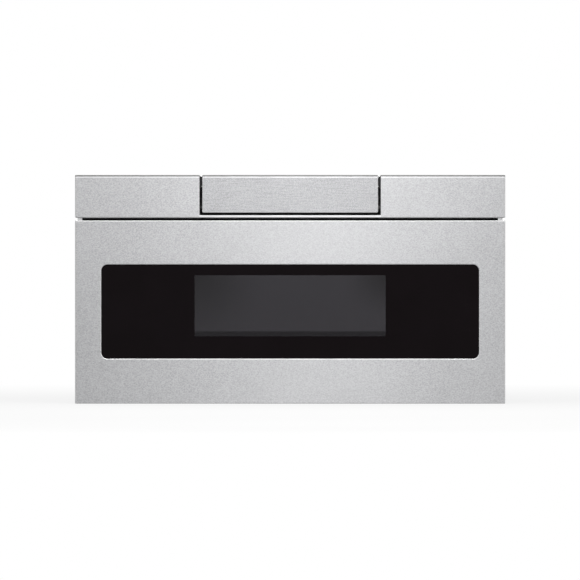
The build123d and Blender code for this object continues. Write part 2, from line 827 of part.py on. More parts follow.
with BuildPart() as stirrer_motor:
    with BuildSketch(level(guide_top)):
        with Locations((0, stirrer_mid_y)):
            SlotOverall(motor_ear_length, motor_ear_width)
    extrude(amount=motor_ear_thickness)
    with BuildSketch(level(guide_top)):
        discs(stirrer_motor_radius, (0, stirrer_mid_y))
    extrude(amount=stirrer_motor_height)
    with BuildSketch(level(guide_top)):
        discs(stirrer_pin_radius + bush_play, (0, stirrer_mid_y))
    extrude(amount=stirrer_motor_bore + motor_pin_room, mode=Mode.SUBTRACT)
write(stirrer_motor, "stirrer_motor")

with BuildPart() as magnetron:
    plate_z = dome_top - magnetron_plate
    yoke_z = plate_z - yoke_height
    yoke_inner = magnetron_width / 2 - magnetron_plate
    with BuildSketch(level(plate_z)):
        with Locations((0, magnetron_y)):
            Rectangle(magnetron_width, magnetron_depth)
    extrude(amount=magnetron_plate)
    with BuildSketch(level(plate_z)):
        discs(antenna_radius, (0, magnetron_y))
    extrude(amount=antenna_reach)
    fillet(magnetron.edges().filter_by(GeomType.CIRCLE).sort_by(Axis.Z)[-1], radius=antenna_tip)
    with BuildSketch(front_plane(magnetron_y)):
        patch(-magnetron_width / 2, magnetron_width / 2, yoke_z, plate_z)
        patch(-yoke_inner, yoke_inner, yoke_z + magnetron_plate, plate_z, Mode.SUBTRACT)
    extrude(amount=magnetron_depth / 2, both=True)
    with BuildSketch(level(yoke_z)):
        discs(anode_radius, (0, magnetron_y))
    extrude(amount=yoke_height)
    for fin in range(fin_count):
        with BuildSketch(level(yoke_z + (fin + 1) * yoke_height / (fin_count + 1))):
            with Locations((0, magnetron_y)):
                Rectangle(2 * yoke_inner - magnetron_plate, magnetron_depth - 2 * fin_margin)
        extrude(amount=fin_thickness)
    with BuildSketch(level(yoke_z)):
        with Locations((0, magnetron_y)):
            Rectangle(filament_box_width, filament_box_depth)
    extrude(amount=-filament_box_height)
write(magnetron, "magnetron")

with BuildPart() as high_voltage_transformer:
    foot_top = case_sheet + core_foot
    with BuildSketch(level(case_sheet)):
        with Locations((transformer_x, transformer_y)):
            Rectangle(core_width + 2 * core_foot_lap, core_depth)
            with GridLocations(core_width + 2 * (core_foot_lap - core_foot_hole_edge),
                               core_depth - 2 * core_foot_hole_end, 2, 2):
                Circle(core_foot_hole_radius, mode=Mode.SUBTRACT)
    extrude(amount=core_foot)
    with BuildSketch(level(foot_top)):
        with Locations((transformer_x, transformer_y)):
            Rectangle(core_width, core_depth)
    extrude(amount=core_height)
    with BuildSketch(level(foot_top + core_limb)):
        with Locations((transformer_x, transformer_y)):
            RectangleRounded(core_width - 2 * core_limb, core_depth + 2 * winding_lap, winding_corner)
    extrude(amount=core_height - 2 * core_limb)
write(high_voltage_transformer, "high_voltage_transformer")

with BuildPart() as high_voltage_capacitor:
    with BuildSketch(level(case_sheet)):
        with Locations((capacitor_x, capacitor_y)):
            SlotOverall(capacitor_width, capacitor_depth)
    extrude(amount=capacitor_height)
    with BuildSketch(level(clamp_rise)):
        with Locations((capacitor_x, capacitor_y)):
            SlotOverall(capacitor_width + 2 * clamp_thickness, capacitor_depth + 2 * clamp_thickness)
    extrude(amount=clamp_height)
    with BuildSketch(level(case_sheet + capacitor_height)):
        with Locations((capacitor_x, capacitor_y)):
            with GridLocations(terminal_pitch, 0, 2, 1):
                Rectangle(terminal_width, terminal_thickness)
    extrude(amount=terminal_height)
write(high_voltage_capacitor, "high_voltage_capacitor")

with BuildPart() as lamp_holder:
    holder_face = side_plane(-mouth_half - cavity_sheet)
    with BuildSketch(holder_face):
        rounded_patch(lamp_holder_length, lamp_holder_height, lamp_y, lamp_z, lamp_holder_corner)
    extrude(amount=-lamp_holder_depth)
    with BuildSketch(holder_face):
        rounded_patch(lamp_holder_length - 2 * lamp_holder_wall,
                      lamp_holder_height - 2 * lamp_holder_wall,
                      lamp_y, lamp_z, lamp_holder_corner - lamp_holder_wall)
    extrude(amount=lamp_holder_wall - lamp_holder_depth, mode=Mode.SUBTRACT)
write(lamp_holder, "lamp_holder")

with BuildPart() as lamp_bulb:
    socket_face = holder_face.offset(lamp_holder_wall - lamp_holder_depth)
    with BuildSketch(socket_face):
        discs(bulb_cap_radius, (lamp_y, lamp_z))
    extrude(amount=bulb_cap_length)
    with BuildSketch(socket_face.offset(bulb_cap_length)):
        discs(bulb_radius, (lamp_y, lamp_z))
    extrude(amount=bulb_length)
    fillet(lamp_bulb.edges().filter_by(GeomType.CIRCLE).sort_by(Axis.X)[-1], radius=bulb_round)
write(lamp_bulb, "lamp_bulb")

# ------------------------------------------------------------------ cooling fan
with BuildPart() as fan_shroud:
    strut_face = rear_in - fan_shroud_depth
    with BuildSketch(front_plane(rear_in)):
        rounded_patch(fan_shroud_size, fan_shroud_size, fan_mid_x, fan_mid_z, fan_shroud_corner)
        discs(fan_radius + fan_tip_gap, (fan_mid_x, fan_mid_z), mode=Mode.SUBTRACT)
    extrude(amount=fan_shroud_depth)
    with BuildSketch(front_plane(strut_face)):
        for end in (-1, 1):
            with Locations((fan_mid_x + end * fan_motor_width / 3, fan_mid_z)):
                Rectangle(fan_strut_width, fan_shroud_size)
    extrude(amount=fan_strut_depth)
write(fan_shroud, "fan_shroud")

fan_motor_back = strut_face - fan_strut_depth

with BuildPart() as fan_motor:
    with BuildSketch(front_plane(fan_motor_back)):
        with Locations((fan_mid_x, fan_mid_z)):
            Rectangle(fan_motor_width, fan_motor_height)
            Circle(fan_pin_radius + bush_play, mode=Mode.SUBTRACT)
    extrude(amount=fan_motor_depth)
    with BuildSketch(front_plane(fan_motor_back - fan_coil_margin)):
        rounded_patch(fan_coil_width, fan_coil_height,
                      fan_mid_x + fan_motor_width / 2 - fan_coil_inset, fan_mid_z, fan_coil_corner)
    extrude(amount=fan_motor_depth - 2 * fan_coil_margin)
write(fan_motor, "fan_motor")

with BuildPart() as fan_wheel:
    fan_face = strut_face + fan_hub_gap
    blade_length = fan_radius - fan_hub_radius + fan_blade_root
    with BuildSketch(front_plane(fan_face + fan_hub_length)):
        discs(fan_hub_radius, (fan_mid_x, fan_mid_z))
    extrude(amount=fan_hub_length)
    with BuildSketch(front_plane(fan_face)):
        discs(fan_pin_radius, (fan_mid_x, fan_mid_z))
    extrude(amount=fan_face - fan_motor_back + fan_motor_depth)
    with Locations(front_plane(fan_face + fan_hub_length / 2)):
        with Locations((fan_mid_x, fan_mid_z)):
            with PolarLocations(fan_radius - blade_length / 2, fan_blades):
                Box(blade_length, fan_blade_chord, fan_blade_thickness,
                    rotation=(fan_blade_pitch, 0, 0))
write(fan_wheel, "fan_wheel")


# ------------------------------------------------------------------ boards
def standoffs(mid_y, mid_z, length, height):
    """Round pillars near the four corners of a board."""
    with Locations((mid_y, mid_z)):
        with GridLocations(length - 2 * standoff_edge, height - 2 * standoff_edge, 2, 2):
            Circle(standoff_radius)


with BuildPart() as noise_filter:
    filter_y = cavity_depth + filter_gap
    board_face = side_plane(-panel_in + board_standoff)
    with BuildSketch(board_face):
        with Locations((filter_y, filter_mid_z)):
            Rectangle(filter_length, filter_height)
    extrude(amount=board_thickness)
    with BuildSketch(side_plane(-panel_in)):
        standoffs(filter_y, filter_mid_z, filter_length, filter_height)
    extrude(amount=board_standoff)
    with BuildSketch(board_face.offset(board_thickness)):
        with Locations((filter_y, filter_mid_z)):
            with Locations((filter_coil_y, 0)):
                Circle(filter_coil_radius)
                Circle(filter_coil_bore, mode=Mode.SUBTRACT)
            with Locations((filter_cap_y, 0)):
                Rectangle(filter_cap_length, filter_cap_height)
            with Locations((filter_fuse_y, 0)):
                Rectangle(filter_fuse_length, filter_fuse_height)
    extrude(amount=filter_parts_height)
write(noise_filter, "noise_filter")

with BuildPart() as power_board:
    board_face = side_plane(panel_in - board_standoff)
    with BuildSketch(board_face):
        with Locations((power_board_y, power_board_z)):
            Rectangle(power_board_length, power_board_height)
    extrude(amount=-board_thickness)
    with BuildSketch(side_plane(panel_in)):
        standoffs(power_board_y, power_board_z, power_board_length, power_board_height)
    extrude(amount=-board_standoff)
    with BuildSketch(board_face.offset(-board_thickness)):
        with Locations((power_board_y, power_board_z)):
            with Locations((supply_y, supply_z)):
                Rectangle(supply_length, supply_height)
            with Locations((relay_row_y, relay_row_z)):
                with GridLocations(relay_pitch, 0, relay_count, 1):
                    Rectangle(relay_length, relay_height)
            with Locations((smoothing_row_y, smoothing_row_z)):
                with GridLocations(smoothing_pitch, 0, 2, 1):
                    Circle(smoothing_radius)
    extrude(amount=-power_parts_height)
write(power_board, "power_board")

# ------------------------------------------------------------------ slides
def channel(open_x, web_x, half_height):
    """The section of a slide member: a channel with its web at web_x."""
    low, high = slide_mid_z - half_height, slide_mid_z + half_height
    points = [(open_x, low), (web_x, low), (web_x, high), (open_x, high)]
    if open_x > web_x:
        points.reverse()
    folded(points, slide_sheet, slide_sheet + slide_bend)


outer_half = slide_height / 2
middle_half = outer_half - slide_step
inner_half = middle_half - slide_step
middle_web_x = slide_outer_x - slide_sheet - slide_web_gap
flange_start_x = arm_outer + slide_sheet + slide_bend
ball_row_x = (flange_start_x + middle_web_x) / 2

with BuildPart() as outer_slides:
    with BuildSketch(front_plane(slide_front_y)):
        channel(flange_start_x, slide_outer_x, outer_half)
    extrude(amount=-slide_outer_length)
    mirror(about=Plane.YZ)
write(outer_slides, "outer_slides")


def ball_rows(start_y, length, face, reach):
    """A row of balls in its cage on each flange, from a face of the flange inwards or outwards."""
    with BuildSketch(front_plane(start_y)) as rows:
        for side in (-1, 1):
            low, high = sorted((slide_mid_z + side * face, slide_mid_z + side * (face + reach)))
            patch(ball_row_x - ball_row_width / 2, ball_row_x + ball_row_width / 2, low, high)
    extrude(rows.sketch, amount=-length)


with BuildPart() as right_middle_slide:
    with BuildSketch(front_plane(slide_front_y)):
        channel(flange_start_x, middle_web_x, middle_half)
    extrude(amount=-slide_middle_length)
    row_reach = slide_step - slide_sheet - ball_play
    slide_middle_rear = slide_front_y + slide_middle_length
    outer_row_length = slide_outer_length - drawer_travel / 2 - ball_row_short
    ball_rows(slide_middle_rear - outer_row_length, outer_row_length, middle_half, row_reach)
    ball_rows(slide_front_y, slide_middle_length - drawer_travel / 2, middle_half - slide_sheet,
              -row_reach)
write(right_middle_slide, "right_middle_slide")

with BuildPart() as left_middle_slide:
    add(mirror(right_middle_slide.part, about=Plane.YZ))
write(left_middle_slide, "left_middle_slide")

with BuildPart() as inner_slides:
    with BuildSketch(front_plane(slide_front_y)):
        channel(arm_outer + slide_inner_reach, arm_outer, inner_half)
    extrude(amount=-slide_inner_length)
    mirror(about=Plane.YZ)
write(inner_slides, "inner_slides")

bush_radius = shaft_radius + bush_play + bush_wall

with BuildPart() as slide_supports:
    with BuildSketch(front_plane(slide_front_y)):
        folded([(slide_outer_x, support_rise), (slide_outer_x, case_sheet),
                (support_outer_x + support_flange, case_sheet)],
               support_sheet, support_sheet + slide_sheet)
    extrude(amount=-slide_outer_length)
    with BuildSketch(side_plane(slide_outer_x)):
        discs(bush_radius, (shaft_y, shaft_z))
    extrude(amount=support_sheet, mode=Mode.SUBTRACT)
    mirror(about=Plane.YZ)
write(slide_supports, "slide_supports")

# ------------------------------------------------------------------ drive
with BuildPart() as shaft_bushes:
    with BuildSketch(side_plane(support_outer_x)):
        discs(bush_radius, (shaft_y, shaft_z))
    extrude(amount=-(bush_length - bush_flange))
    with BuildSketch(side_plane(support_outer_x)):
        discs(bush_radius + bush_wall, (shaft_y, shaft_z))
    extrude(amount=bush_flange)
    with BuildSketch(side_plane(support_outer_x)):
        discs(shaft_radius + bush_play, (shaft_y, shaft_z))
    extrude(amount=bush_length, both=True, mode=Mode.SUBTRACT)
    mirror(about=Plane.YZ)
write(shaft_bushes, "shaft_bushes")

with BuildPart() as drive_shaft:
    with BuildSketch(side_plane(0)):
        discs(shaft_radius, (shaft_y, shaft_z))
    extrude(amount=support_outer_x + bush_flange + shaft_end, both=True)
write(drive_shaft, "drive_shaft")

with BuildPart() as rack_pinions:
    with BuildSketch(side_plane(rack_inner + pinion_gap)):
        outline(*gear_points(rack_module, pinion_teeth, (shaft_y, shaft_z), pi / 2))
        discs(shaft_radius, (shaft_y, shaft_z), mode=Mode.SUBTRACT)
    extrude(amount=rack_width - 2 * pinion_gap)
    mirror(about=Plane.YZ)
write(rack_pinions, "rack_pinions")

with BuildPart() as shaft_gear:
    with BuildSketch(side_plane(drive_gear_x)):
        outline(*gear_points(drive_module, shaft_gear_teeth, (shaft_y, shaft_z), 0))
        discs(shaft_radius, (shaft_y, shaft_z), mode=Mode.SUBTRACT)
    extrude(amount=drive_gear_width)
write(shaft_gear, "shaft_gear")

gearbox_x = drive_gear_x + drive_gear_width + gearbox_gear_gap
gearbox_low_y = shaft_y + shaft_radius + gearbox_shaft_gap

with BuildPart() as motor_gear:
    gap_phase = pi + pi / motor_gear_teeth
    with BuildSketch(side_plane(drive_gear_x)):
        outline(*gear_points(drive_module, motor_gear_teeth, (motor_pin_y, shaft_z), gap_phase))
    extrude(amount=drive_gear_width)
    with BuildSketch(side_plane(drive_gear_x + drive_gear_width)):
        discs(motor_pin_radius, (motor_pin_y, shaft_z))
    extrude(amount=gearbox_width / 2)
write(motor_gear, "motor_gear")

with BuildPart() as drive_motor:
    with BuildSketch(side_plane(gearbox_x)):
        patch(gearbox_low_y, gearbox_low_y + gearbox_depth, case_sheet, case_sheet + gearbox_height)
    extrude(amount=gearbox_width)
    fillet(drive_motor.edges().filter_by(Axis.X), radius=gearbox_corner)
    can_y = gearbox_low_y + gearbox_depth / 2
    can_z = case_sheet + gearbox_height / 2
    with BuildSketch(side_plane(gearbox_x + gearbox_width)):
        discs(motor_can_radius, (can_y, can_z))
    extrude(amount=motor_can_length)
    with BuildSketch(side_plane(gearbox_x)):
        discs(motor_pin_radius + bush_play, (motor_pin_y, shaft_z))
    extrude(amount=gearbox_width / 2 + motor_pin_room, mode=Mode.SUBTRACT)
write(drive_motor, "drive_motor")

arm_length = slide_front_y + slide_inner_length + arm_run_on - core_back
arm_screw_x = arm_inner + arm_flange - arm_screw_edge
arm_screw_points = [(side * arm_screw_x, slide_mid_z + end * arm_height / 4)
                    for side in (-1, 1) for end in (-1, 1)]

for name, side in (("right", 1), ("left", -1)):
    with BuildPart() as drawer_arm:
        with BuildSketch(level(slide_mid_z - arm_height / 2)):
            folded([(arm_inner, core_back + arm_length), (arm_inner, core_back),
                    (arm_inner + arm_flange, core_back)], arm_sheet, arm_sheet + slide_sheet)
        extrude(amount=arm_height)
        with BuildSketch(front_plane(core_back)):
            discs(screw_radius + screw_clearance, *arm_screw_points)
        extrude(amount=-arm_sheet, mode=Mode.SUBTRACT)
        if side < 0:
            mirror(about=Plane.YZ, mode=Mode.REPLACE)
    write(drawer_arm, f"{name}_drawer_arm")

    with BuildPart() as rack:
        with BuildSketch(side_plane(rack_inner)):
            outline(*rack_points(rack_front_y, rack_rear_y))
        extrude(amount=rack_width)
        if side < 0:
            mirror(about=Plane.YZ, mode=Mode.REPLACE)
    write(rack, f"{name}_rack")

# ------------------------------------------------------------------ interlock
with BuildPart() as interlock_tongue:
    with BuildSketch(side_plane(tongue_x - tongue_width / 2)):
        patch(core_back, tongue_reach, tongue_z - tongue_height / 2, tongue_z + tongue_height / 2)
        with Locations((tongue_eye_y, tongue_z)):
            Rectangle(tongue_eye_length, tongue_eye_height, mode=Mode.SUBTRACT)
    extrude(amount=tongue_width)
    chamfer(interlock_tongue.edges().filter_by(Axis.X).group_by(Axis.Y)[-1], length=tongue_lead)
write(interlock_tongue, "interlock_tongue")

switch_x = tongue_x - tongue_width / 2 - switch_gap - switch_pin - switch_width

with BuildPart() as switch_bracket:
    with BuildSketch(level(tongue_z - bracket_height / 2)):
        folded([(switch_x - bracket_foot, 0), (switch_x, 0), (switch_x, bracket_depth)], case_sheet)
    extrude(amount=bracket_height)
write(switch_bracket, "switch_bracket")

with BuildPart() as interlock_switches:
    pin_low_y = switch_pin_y - switch_pin_length / 2
    for step in range(switch_count):
        mid_z = tongue_z + (step - (switch_count - 1) / 2) * switch_pitch
        with BuildSketch(level(mid_z - switch_height / 2)):
            patch(switch_x, switch_x + switch_width, switch_front_y, switch_rear_y)
            patch(switch_x + switch_width, switch_x + switch_width + switch_pin,
                  pin_low_y, pin_low_y + switch_pin_length)
        extrude(amount=switch_height)
write(interlock_switches, "interlock_switches")

# ------------------------------------------------------------------ drawer front
def skin(width, height, mid_z, rear_y, depth, lip, bend):
    """A steel face folded back on all four sides, with a lip round its open rear."""
    with BuildSketch(front_plane(rear_y)) as face:
        rounded_patch(width, height, 0, mid_z, bend)
    extrude(face.sketch, amount=depth)
    fillet(faces().sort_by(Axis.Y)[0].edges(), radius=bend)
    with BuildSketch(front_plane(rear_y - face_sheet)) as inside:
        patch(-width / 2 + face_sheet, width / 2 - face_sheet,
              mid_z - height / 2 + face_sheet, mid_z + height / 2 - face_sheet)
    extrude(inside.sketch, amount=depth - 2 * face_sheet, mode=Mode.SUBTRACT)
    with BuildSketch(front_plane(rear_y)) as opening:
        patch(-width / 2 + lip, width / 2 - lip, mid_z - height / 2 + lip, mid_z + height / 2 - lip)
    extrude(opening.sketch, amount=face_sheet, mode=Mode.SUBTRACT)


with BuildPart() as door_skin:
    skin(face_width, door_height, door_mid_z, door_back, door_depth, door_lip, face_bend)
    with BuildSketch(front_plane(glass_front)):
        rounded_patch(window_width + 2 * face_sheet, window_height + 2 * face_sheet,
                      0, window_mid_z, window_corner + face_sheet)
    extrude(amount=window_return)
    with BuildSketch(front_plane(glass_front)):
        rounded_patch(window_width, window_height, 0, window_mid_z, window_corner)
    extrude(amount=face_sheet + window_return, mode=Mode.SUBTRACT)
    front_face = door_skin.faces().sort_by(Axis.Y)[0]
    fillet(front_face.inner_wires()[0].edges(), radius=face_bend)
write(door_skin, "door_skin")

with BuildPart() as door_glass:
    with BuildSketch(front_plane(glass_front)):
        rounded_patch(window_width + 2 * glass_lap, window_height + 2 * glass_lap,
                      0, window_mid_z, window_corner)
    extrude(amount=-glass_thickness)
write(door_glass, "door_glass")

choke_x = mouth_half + choke_width
choke_z = cavity_height / 2 + choke_width
pan_front = core_back - core_sheet - choke_depth

with BuildPart() as door_core:
    with BuildSketch(front_plane(core_back)):
        inner_half_x = face_half - face_sheet - core_edge_gap
        patch(-inner_half_x, inner_half_x, face_bottom + face_sheet + core_edge_gap,
              door_top - face_sheet - core_edge_gap)
    extrude(amount=core_sheet)
    with BuildSketch(front_plane(core_back)):
        rounded_patch(2 * (choke_x + core_sheet), 2 * (choke_z + core_sheet),
                      0, cavity_mid_z, cavity_corner)
    extrude(amount=core_sheet + choke_depth)
    with BuildSketch(front_plane(core_back)):
        rounded_patch(2 * choke_x, 2 * choke_z, 0, cavity_mid_z, cavity_corner - core_sheet)
    extrude(amount=choke_depth, mode=Mode.SUBTRACT)
    with BuildSketch(front_plane(core_back)):
        discs(screw_radius + screw_clearance, *arm_screw_points)
    extrude(amount=core_sheet, mode=Mode.SUBTRACT)
write(door_core, "door_core")

cover_rear = frame_front - choke_gap
plate_rear = cover_rear - choke_cover_thickness
plate_front = plate_rear - core_sheet
wall_x = mouth_half + choke_step
wall_z = cavity_height / 2 + choke_step
view_half_x = view_width / 2 + view_margin_x
view_half_z = view_height / 2 + view_margin_z
comb_x = choke_x - choke_slot
comb_z = choke_z - choke_slot
comb_depth = comb_x - wall_x - choke_tooth_root
comb_pitch = choke_tooth + choke_tooth_gap

with BuildPart() as choke_frame:
    with BuildSketch(front_plane(plate_rear)):
        rounded_patch(2 * comb_x, 2 * comb_z, 0, cavity_mid_z, cavity_corner)
        for side in (-1, 1):
            with Locations((0, cavity_mid_z + side * (comb_z - comb_depth / 2))):
                with GridLocations(comb_pitch, 0, int(2 * wall_x / comb_pitch), 1):
                    Rectangle(choke_tooth_gap, comb_depth, mode=Mode.SUBTRACT)
            with Locations((side * (comb_x - comb_depth / 2), cavity_mid_z)):
                with GridLocations(0, comb_pitch, 1, int(2 * wall_z / comb_pitch)):
                    Rectangle(comb_depth, choke_tooth_gap, mode=Mode.SUBTRACT)
        rounded_patch(2 * view_half_x, 2 * view_half_z, 0, view_mid_z, cavity_corner, Mode.SUBTRACT)
    extrude(amount=core_sheet)
    with BuildSketch(front_plane(plate_front)):
        rounded_patch(2 * wall_x, 2 * wall_z, 0, cavity_mid_z, cavity_corner)
        rounded_patch(2 * (wall_x - core_sheet), 2 * (wall_z - core_sheet),
                      0, cavity_mid_z, cavity_corner - core_sheet, Mode.SUBTRACT)
    extrude(amount=plate_front - pan_front - core_sheet)
write(choke_frame, "choke_frame")

with BuildPart() as choke_cover:
    cover_half_x = choke_x + choke_cover_lap
    cover_half_z = choke_z + choke_cover_lap
    with BuildSketch(front_plane(core_back)):
        rounded_patch(2 * cover_half_x, 2 * cover_half_z, 0, cavity_mid_z, cavity_corner)
    extrude(amount=core_back - cover_rear)
    with BuildSketch(front_plane(plate_rear)):
        rounded_patch(2 * choke_x, 2 * choke_z, 0, cavity_mid_z, cavity_corner)
    extrude(amount=choke_width, mode=Mode.SUBTRACT)
    with BuildSketch(front_plane(cover_rear)):
        rounded_patch(2 * (wall_x - choke_cover_lap), 2 * (wall_z - choke_cover_lap),
                      0, cavity_mid_z, cavity_corner)
    extrude(amount=choke_width, mode=Mode.SUBTRACT)
write(choke_cover, "choke_cover")

with BuildPart() as inner_window:
    with BuildSketch(front_plane(plate_front)):
        rounded_patch(2 * (view_half_x + inner_window_lap), 2 * (view_half_z + inner_window_lap),
                      0, view_mid_z, cavity_corner)
    extrude(amount=inner_window_thickness)
write(inner_window, "inner_window")

with BuildPart() as arm_screws:
    screws(front_plane(core_back + arm_sheet), arm_screw_points, -1)
write(arm_screws, "arm_screws")

# ------------------------------------------------------------------ drawer bin
bin_bottom = cavity_floor + bin_clearance
bin_floor = bin_bottom + bin_wall
bin_top = bin_bottom + bin_height
bin_front = plate_rear
bin_rear = cavity_depth - bin_rear_gap


def bin_plan(half_width, front_y, rear_y, corner):
    """The bin's plan: square at the drawer front and rounded at the rear."""
    with BuildLine() as edge:
        Polyline((-half_width, front_y), (half_width, front_y), (half_width, rear_y - corner))
        RadiusArc((half_width, rear_y - corner), (half_width - corner, rear_y), -corner)
        Line((half_width - corner, rear_y), (corner - half_width, rear_y))
        RadiusArc((corner - half_width, rear_y), (-half_width, rear_y - corner), -corner)
        Line((-half_width, rear_y - corner), (-half_width, front_y))
    make_face(edge.edges())


with BuildPart() as drawer_bin:
    half = mouth_half - bin_side_gap
    with BuildSketch(level(bin_bottom)):
        bin_plan(half, bin_front, bin_rear, bin_corner)
    extrude(amount=bin_height)
    with BuildSketch(level(bin_top)):
        bin_plan(half + bin_rim, bin_front, bin_rear + bin_rim, bin_corner + bin_rim)
    extrude(amount=-bin_rim_height)
    with BuildSketch(level(bin_top)):
        bin_plan(half - bin_wall, bin_front + bin_wall, bin_rear - bin_wall, bin_corner - bin_wall)
    extrude(amount=bin_floor - bin_top, mode=Mode.SUBTRACT)
    floor_face = drawer_bin.faces().filter_by(Axis.Z).sort_by(Axis.Z)[1]
    fillet(floor_face.edges(), radius=bin_floor_radius)
    with BuildSketch(front_plane(bin_front)):
        patch(-half + bin_flange, half - bin_flange, bin_floor + bin_flange, bin_top)
    extrude(amount=-bin_wall, mode=Mode.SUBTRACT)
write(drawer_bin, "drawer_bin")

with BuildPart() as drawer_tray:
    tray_half = half - bin_wall - tray_gap
    with BuildSketch(level(bin_floor)):
        bin_plan(tray_half, bin_front + bin_wall + tray_gap, bin_rear - bin_wall - tray_gap,
                 bin_corner - bin_wall)
    extrude(amount=tray_thickness)
    chamfer(drawer_tray.faces().sort_by(Axis.Z)[-1].edges(), length=tray_bevel)
write(drawer_tray, "drawer_tray")


# ------------------------------------------------------------------ fixed strip
def notch(grow, low, high):
    """The open-topped notch for the control flap. Its top is a little wider than the rest."""
    half_low = notch_half + grow
    half_high = half_low + notch_relief
    rounded_patch(2 * half_low, high - low + 2 * notch_corner, 0,
                  (low + high) / 2 + notch_corner, notch_corner)
    patch(-half_high, half_high, face_top - notch_relief_height, high + 2 * notch_corner)


with BuildPart() as fascia:
    fascia_mid_z = face_top - fascia_height / 2
    fascia_depth = frame_front - door_front
    skin(face_width, fascia_height, fascia_mid_z, frame_front, fascia_depth, fascia_lip, face_bend)
    with BuildSketch(front_plane(frame_front)):
        notch(0, notch_bottom, face_top)
    extrude(amount=fascia_depth, mode=Mode.SUBTRACT)
    with BuildSketch(front_plane(door_front + notch_lip)):
        notch(face_sheet, notch_bottom - face_sheet, face_top)
        with BuildSketch(mode=Mode.PRIVATE) as hole:
            notch(0, notch_bottom, face_top)
        add(hole.sketch, mode=Mode.SUBTRACT)
        patch(-face_half, face_half, face_top, face_top + fascia_height, Mode.SUBTRACT)
    extrude(amount=notch_lip - face_sheet)
    recess_half = housing_half + housing_flange + housing_gap
    with BuildSketch(front_plane(frame_front)):
        patch(-recess_half, recess_half, fascia_bottom + face_sheet, face_top - face_sheet)
    extrude(amount=face_sheet, mode=Mode.SUBTRACT)
write(fascia, "fascia")

# ------------------------------------------------------------------ control panel
flap_mid_z = face_top - flap_height / 2

with BuildPart() as control_flap:
    with BuildSketch(front_plane(door_front + flap_return)):
        rounded_patch(flap_width, flap_height, 0, flap_mid_z, flap_corner)
    extrude(amount=flap_return)
    fillet(control_flap.faces().sort_by(Axis.Y)[0].edges(), radius=face_sheet)
    with BuildSketch(front_plane(door_front + flap_return)):
        rounded_patch(flap_width - 2 * face_sheet, flap_height - 2 * face_sheet,
                      0, flap_mid_z, flap_corner - face_sheet)
    extrude(amount=flap_return - face_sheet, mode=Mode.SUBTRACT)
write(control_flap, "control_flap")

wedge_front = door_front + face_sheet
wedge_bottom = flap_bottom + face_sheet + panel_gap
crest_y = wedge_front + panel_crest
crest_z = face_top - face_sheet - panel_gap
wedge_rear = door_front + panel_depth
slope_run = wedge_rear - crest_y
slope_drop = slope_run * tan(panel_slope)
slope_length = hypot(slope_run, slope_drop)
shoulder_z = crest_z - slope_drop
heel_z = shoulder_z - panel_heel
toe_y = wedge_front + panel_toe
sole_length = hypot(wedge_rear - toe_y, heel_z - wedge_bottom)
key_plane = Plane(origin=(0, crest_y, crest_z), x_dir=(1, 0, 0),
                  z_dir=(0, sin(panel_slope), cos(panel_slope)))
sole_plane = Plane(origin=(0, toe_y, wedge_bottom), x_dir=(1, 0, 0),
                   z_dir=(0, heel_z - wedge_bottom, toe_y - wedge_rear))
key_half = wedge_half - key_glass_margin
key_length = slope_length - 2 * key_glass_margin
hollow_wall = panel_wall + key_glass_thickness
sole_low = sole_margin / 2 - sole_length
sole_high = -sole_margin / 2


def key_patch(gap):
    patch(-key_half + gap, key_half - gap, key_glass_margin + gap, key_glass_margin + key_length - gap)


with BuildPart() as panel_wedge:
    wedge_section = [(wedge_front, wedge_bottom), (wedge_front, crest_z), (crest_y, crest_z),
                     (wedge_rear, shoulder_z), (wedge_rear, heel_z), (toe_y, wedge_bottom)]
    with BuildSketch(side_plane(0)):
        outline(*wedge_section)
    extrude(amount=wedge_half, both=True)
    with BuildSketch(side_plane(0)):
        outline(*wedge_section)
        offset(amount=-hollow_wall, kind=Kind.INTERSECTION, mode=Mode.REPLACE)
    extrude(amount=wedge_half - panel_wall, both=True, mode=Mode.SUBTRACT)
    with BuildSketch(key_plane):
        key_patch(0)
    extrude(amount=-key_glass_thickness, mode=Mode.SUBTRACT)
    with BuildSketch(sole_plane):
        patch(-key_half, key_half, sole_low, sole_high)
    extrude(amount=-panel_cover_thickness, mode=Mode.SUBTRACT)
    with BuildSketch(sole_plane):
        patch(-key_half + sole_margin, key_half - sole_margin,
              sole_low + sole_margin, sole_high - sole_margin)
    extrude(amount=-hollow_wall - panel_wall, mode=Mode.SUBTRACT)
    with BuildSketch(side_plane(wedge_half)):
        discs(pivot_radius, (pivot_y, pivot_z))
    extrude(amount=housing_half - wedge_half)
    with BuildSketch(side_plane(-wedge_half)):
        discs(pivot_radius, (pivot_y, pivot_z))
    extrude(amount=-(housing_half - wedge_half))
write(panel_wedge, "panel_wedge")

with BuildPart() as key_glass:
    with BuildSketch(key_plane.offset(-key_glass_thickness)):
        key_patch(key_glass_play)
    extrude(amount=key_glass_thickness)
write(key_glass, "key_glass")

with BuildPart() as panel_cover:
    with BuildSketch(sole_plane.offset(-panel_cover_thickness)):
        patch(-key_half + key_glass_play, key_half - key_glass_play,
              sole_low + key_glass_play, sole_high - key_glass_play)
    extrude(amount=panel_cover_thickness)
write(panel_cover, "panel_cover")

sector_low = damper_angle - panel_tilt - sector_margin
sector_high = damper_angle + sector_margin


def pie(centre, low, high, radius):
    """A fan-shaped region that keeps one part of a wheel."""
    steps = 4
    angles = [low + (high - low) * step / steps for step in range(steps + 1)]
    rim = [(centre[0] + radius * cos(a), centre[1] + radius * sin(a)) for a in angles]
    outline(centre, *rim, mode=Mode.INTERSECT)


with BuildPart() as panel_gear:
    pivot = (pivot_y, pivot_z)
    with BuildSketch(side_plane(gear_x)):
        outline(*gear_points(damper_module, panel_gear_teeth, pivot, damper_angle))
        pie(pivot, sector_low, sector_high, 4 * damper_reach)
        discs(pivot_radius + panel_wall - damper_gap, pivot)
        discs(pivot_radius, pivot, mode=Mode.SUBTRACT)
    extrude(amount=damper_gear_width)
write(panel_gear, "panel_gear")

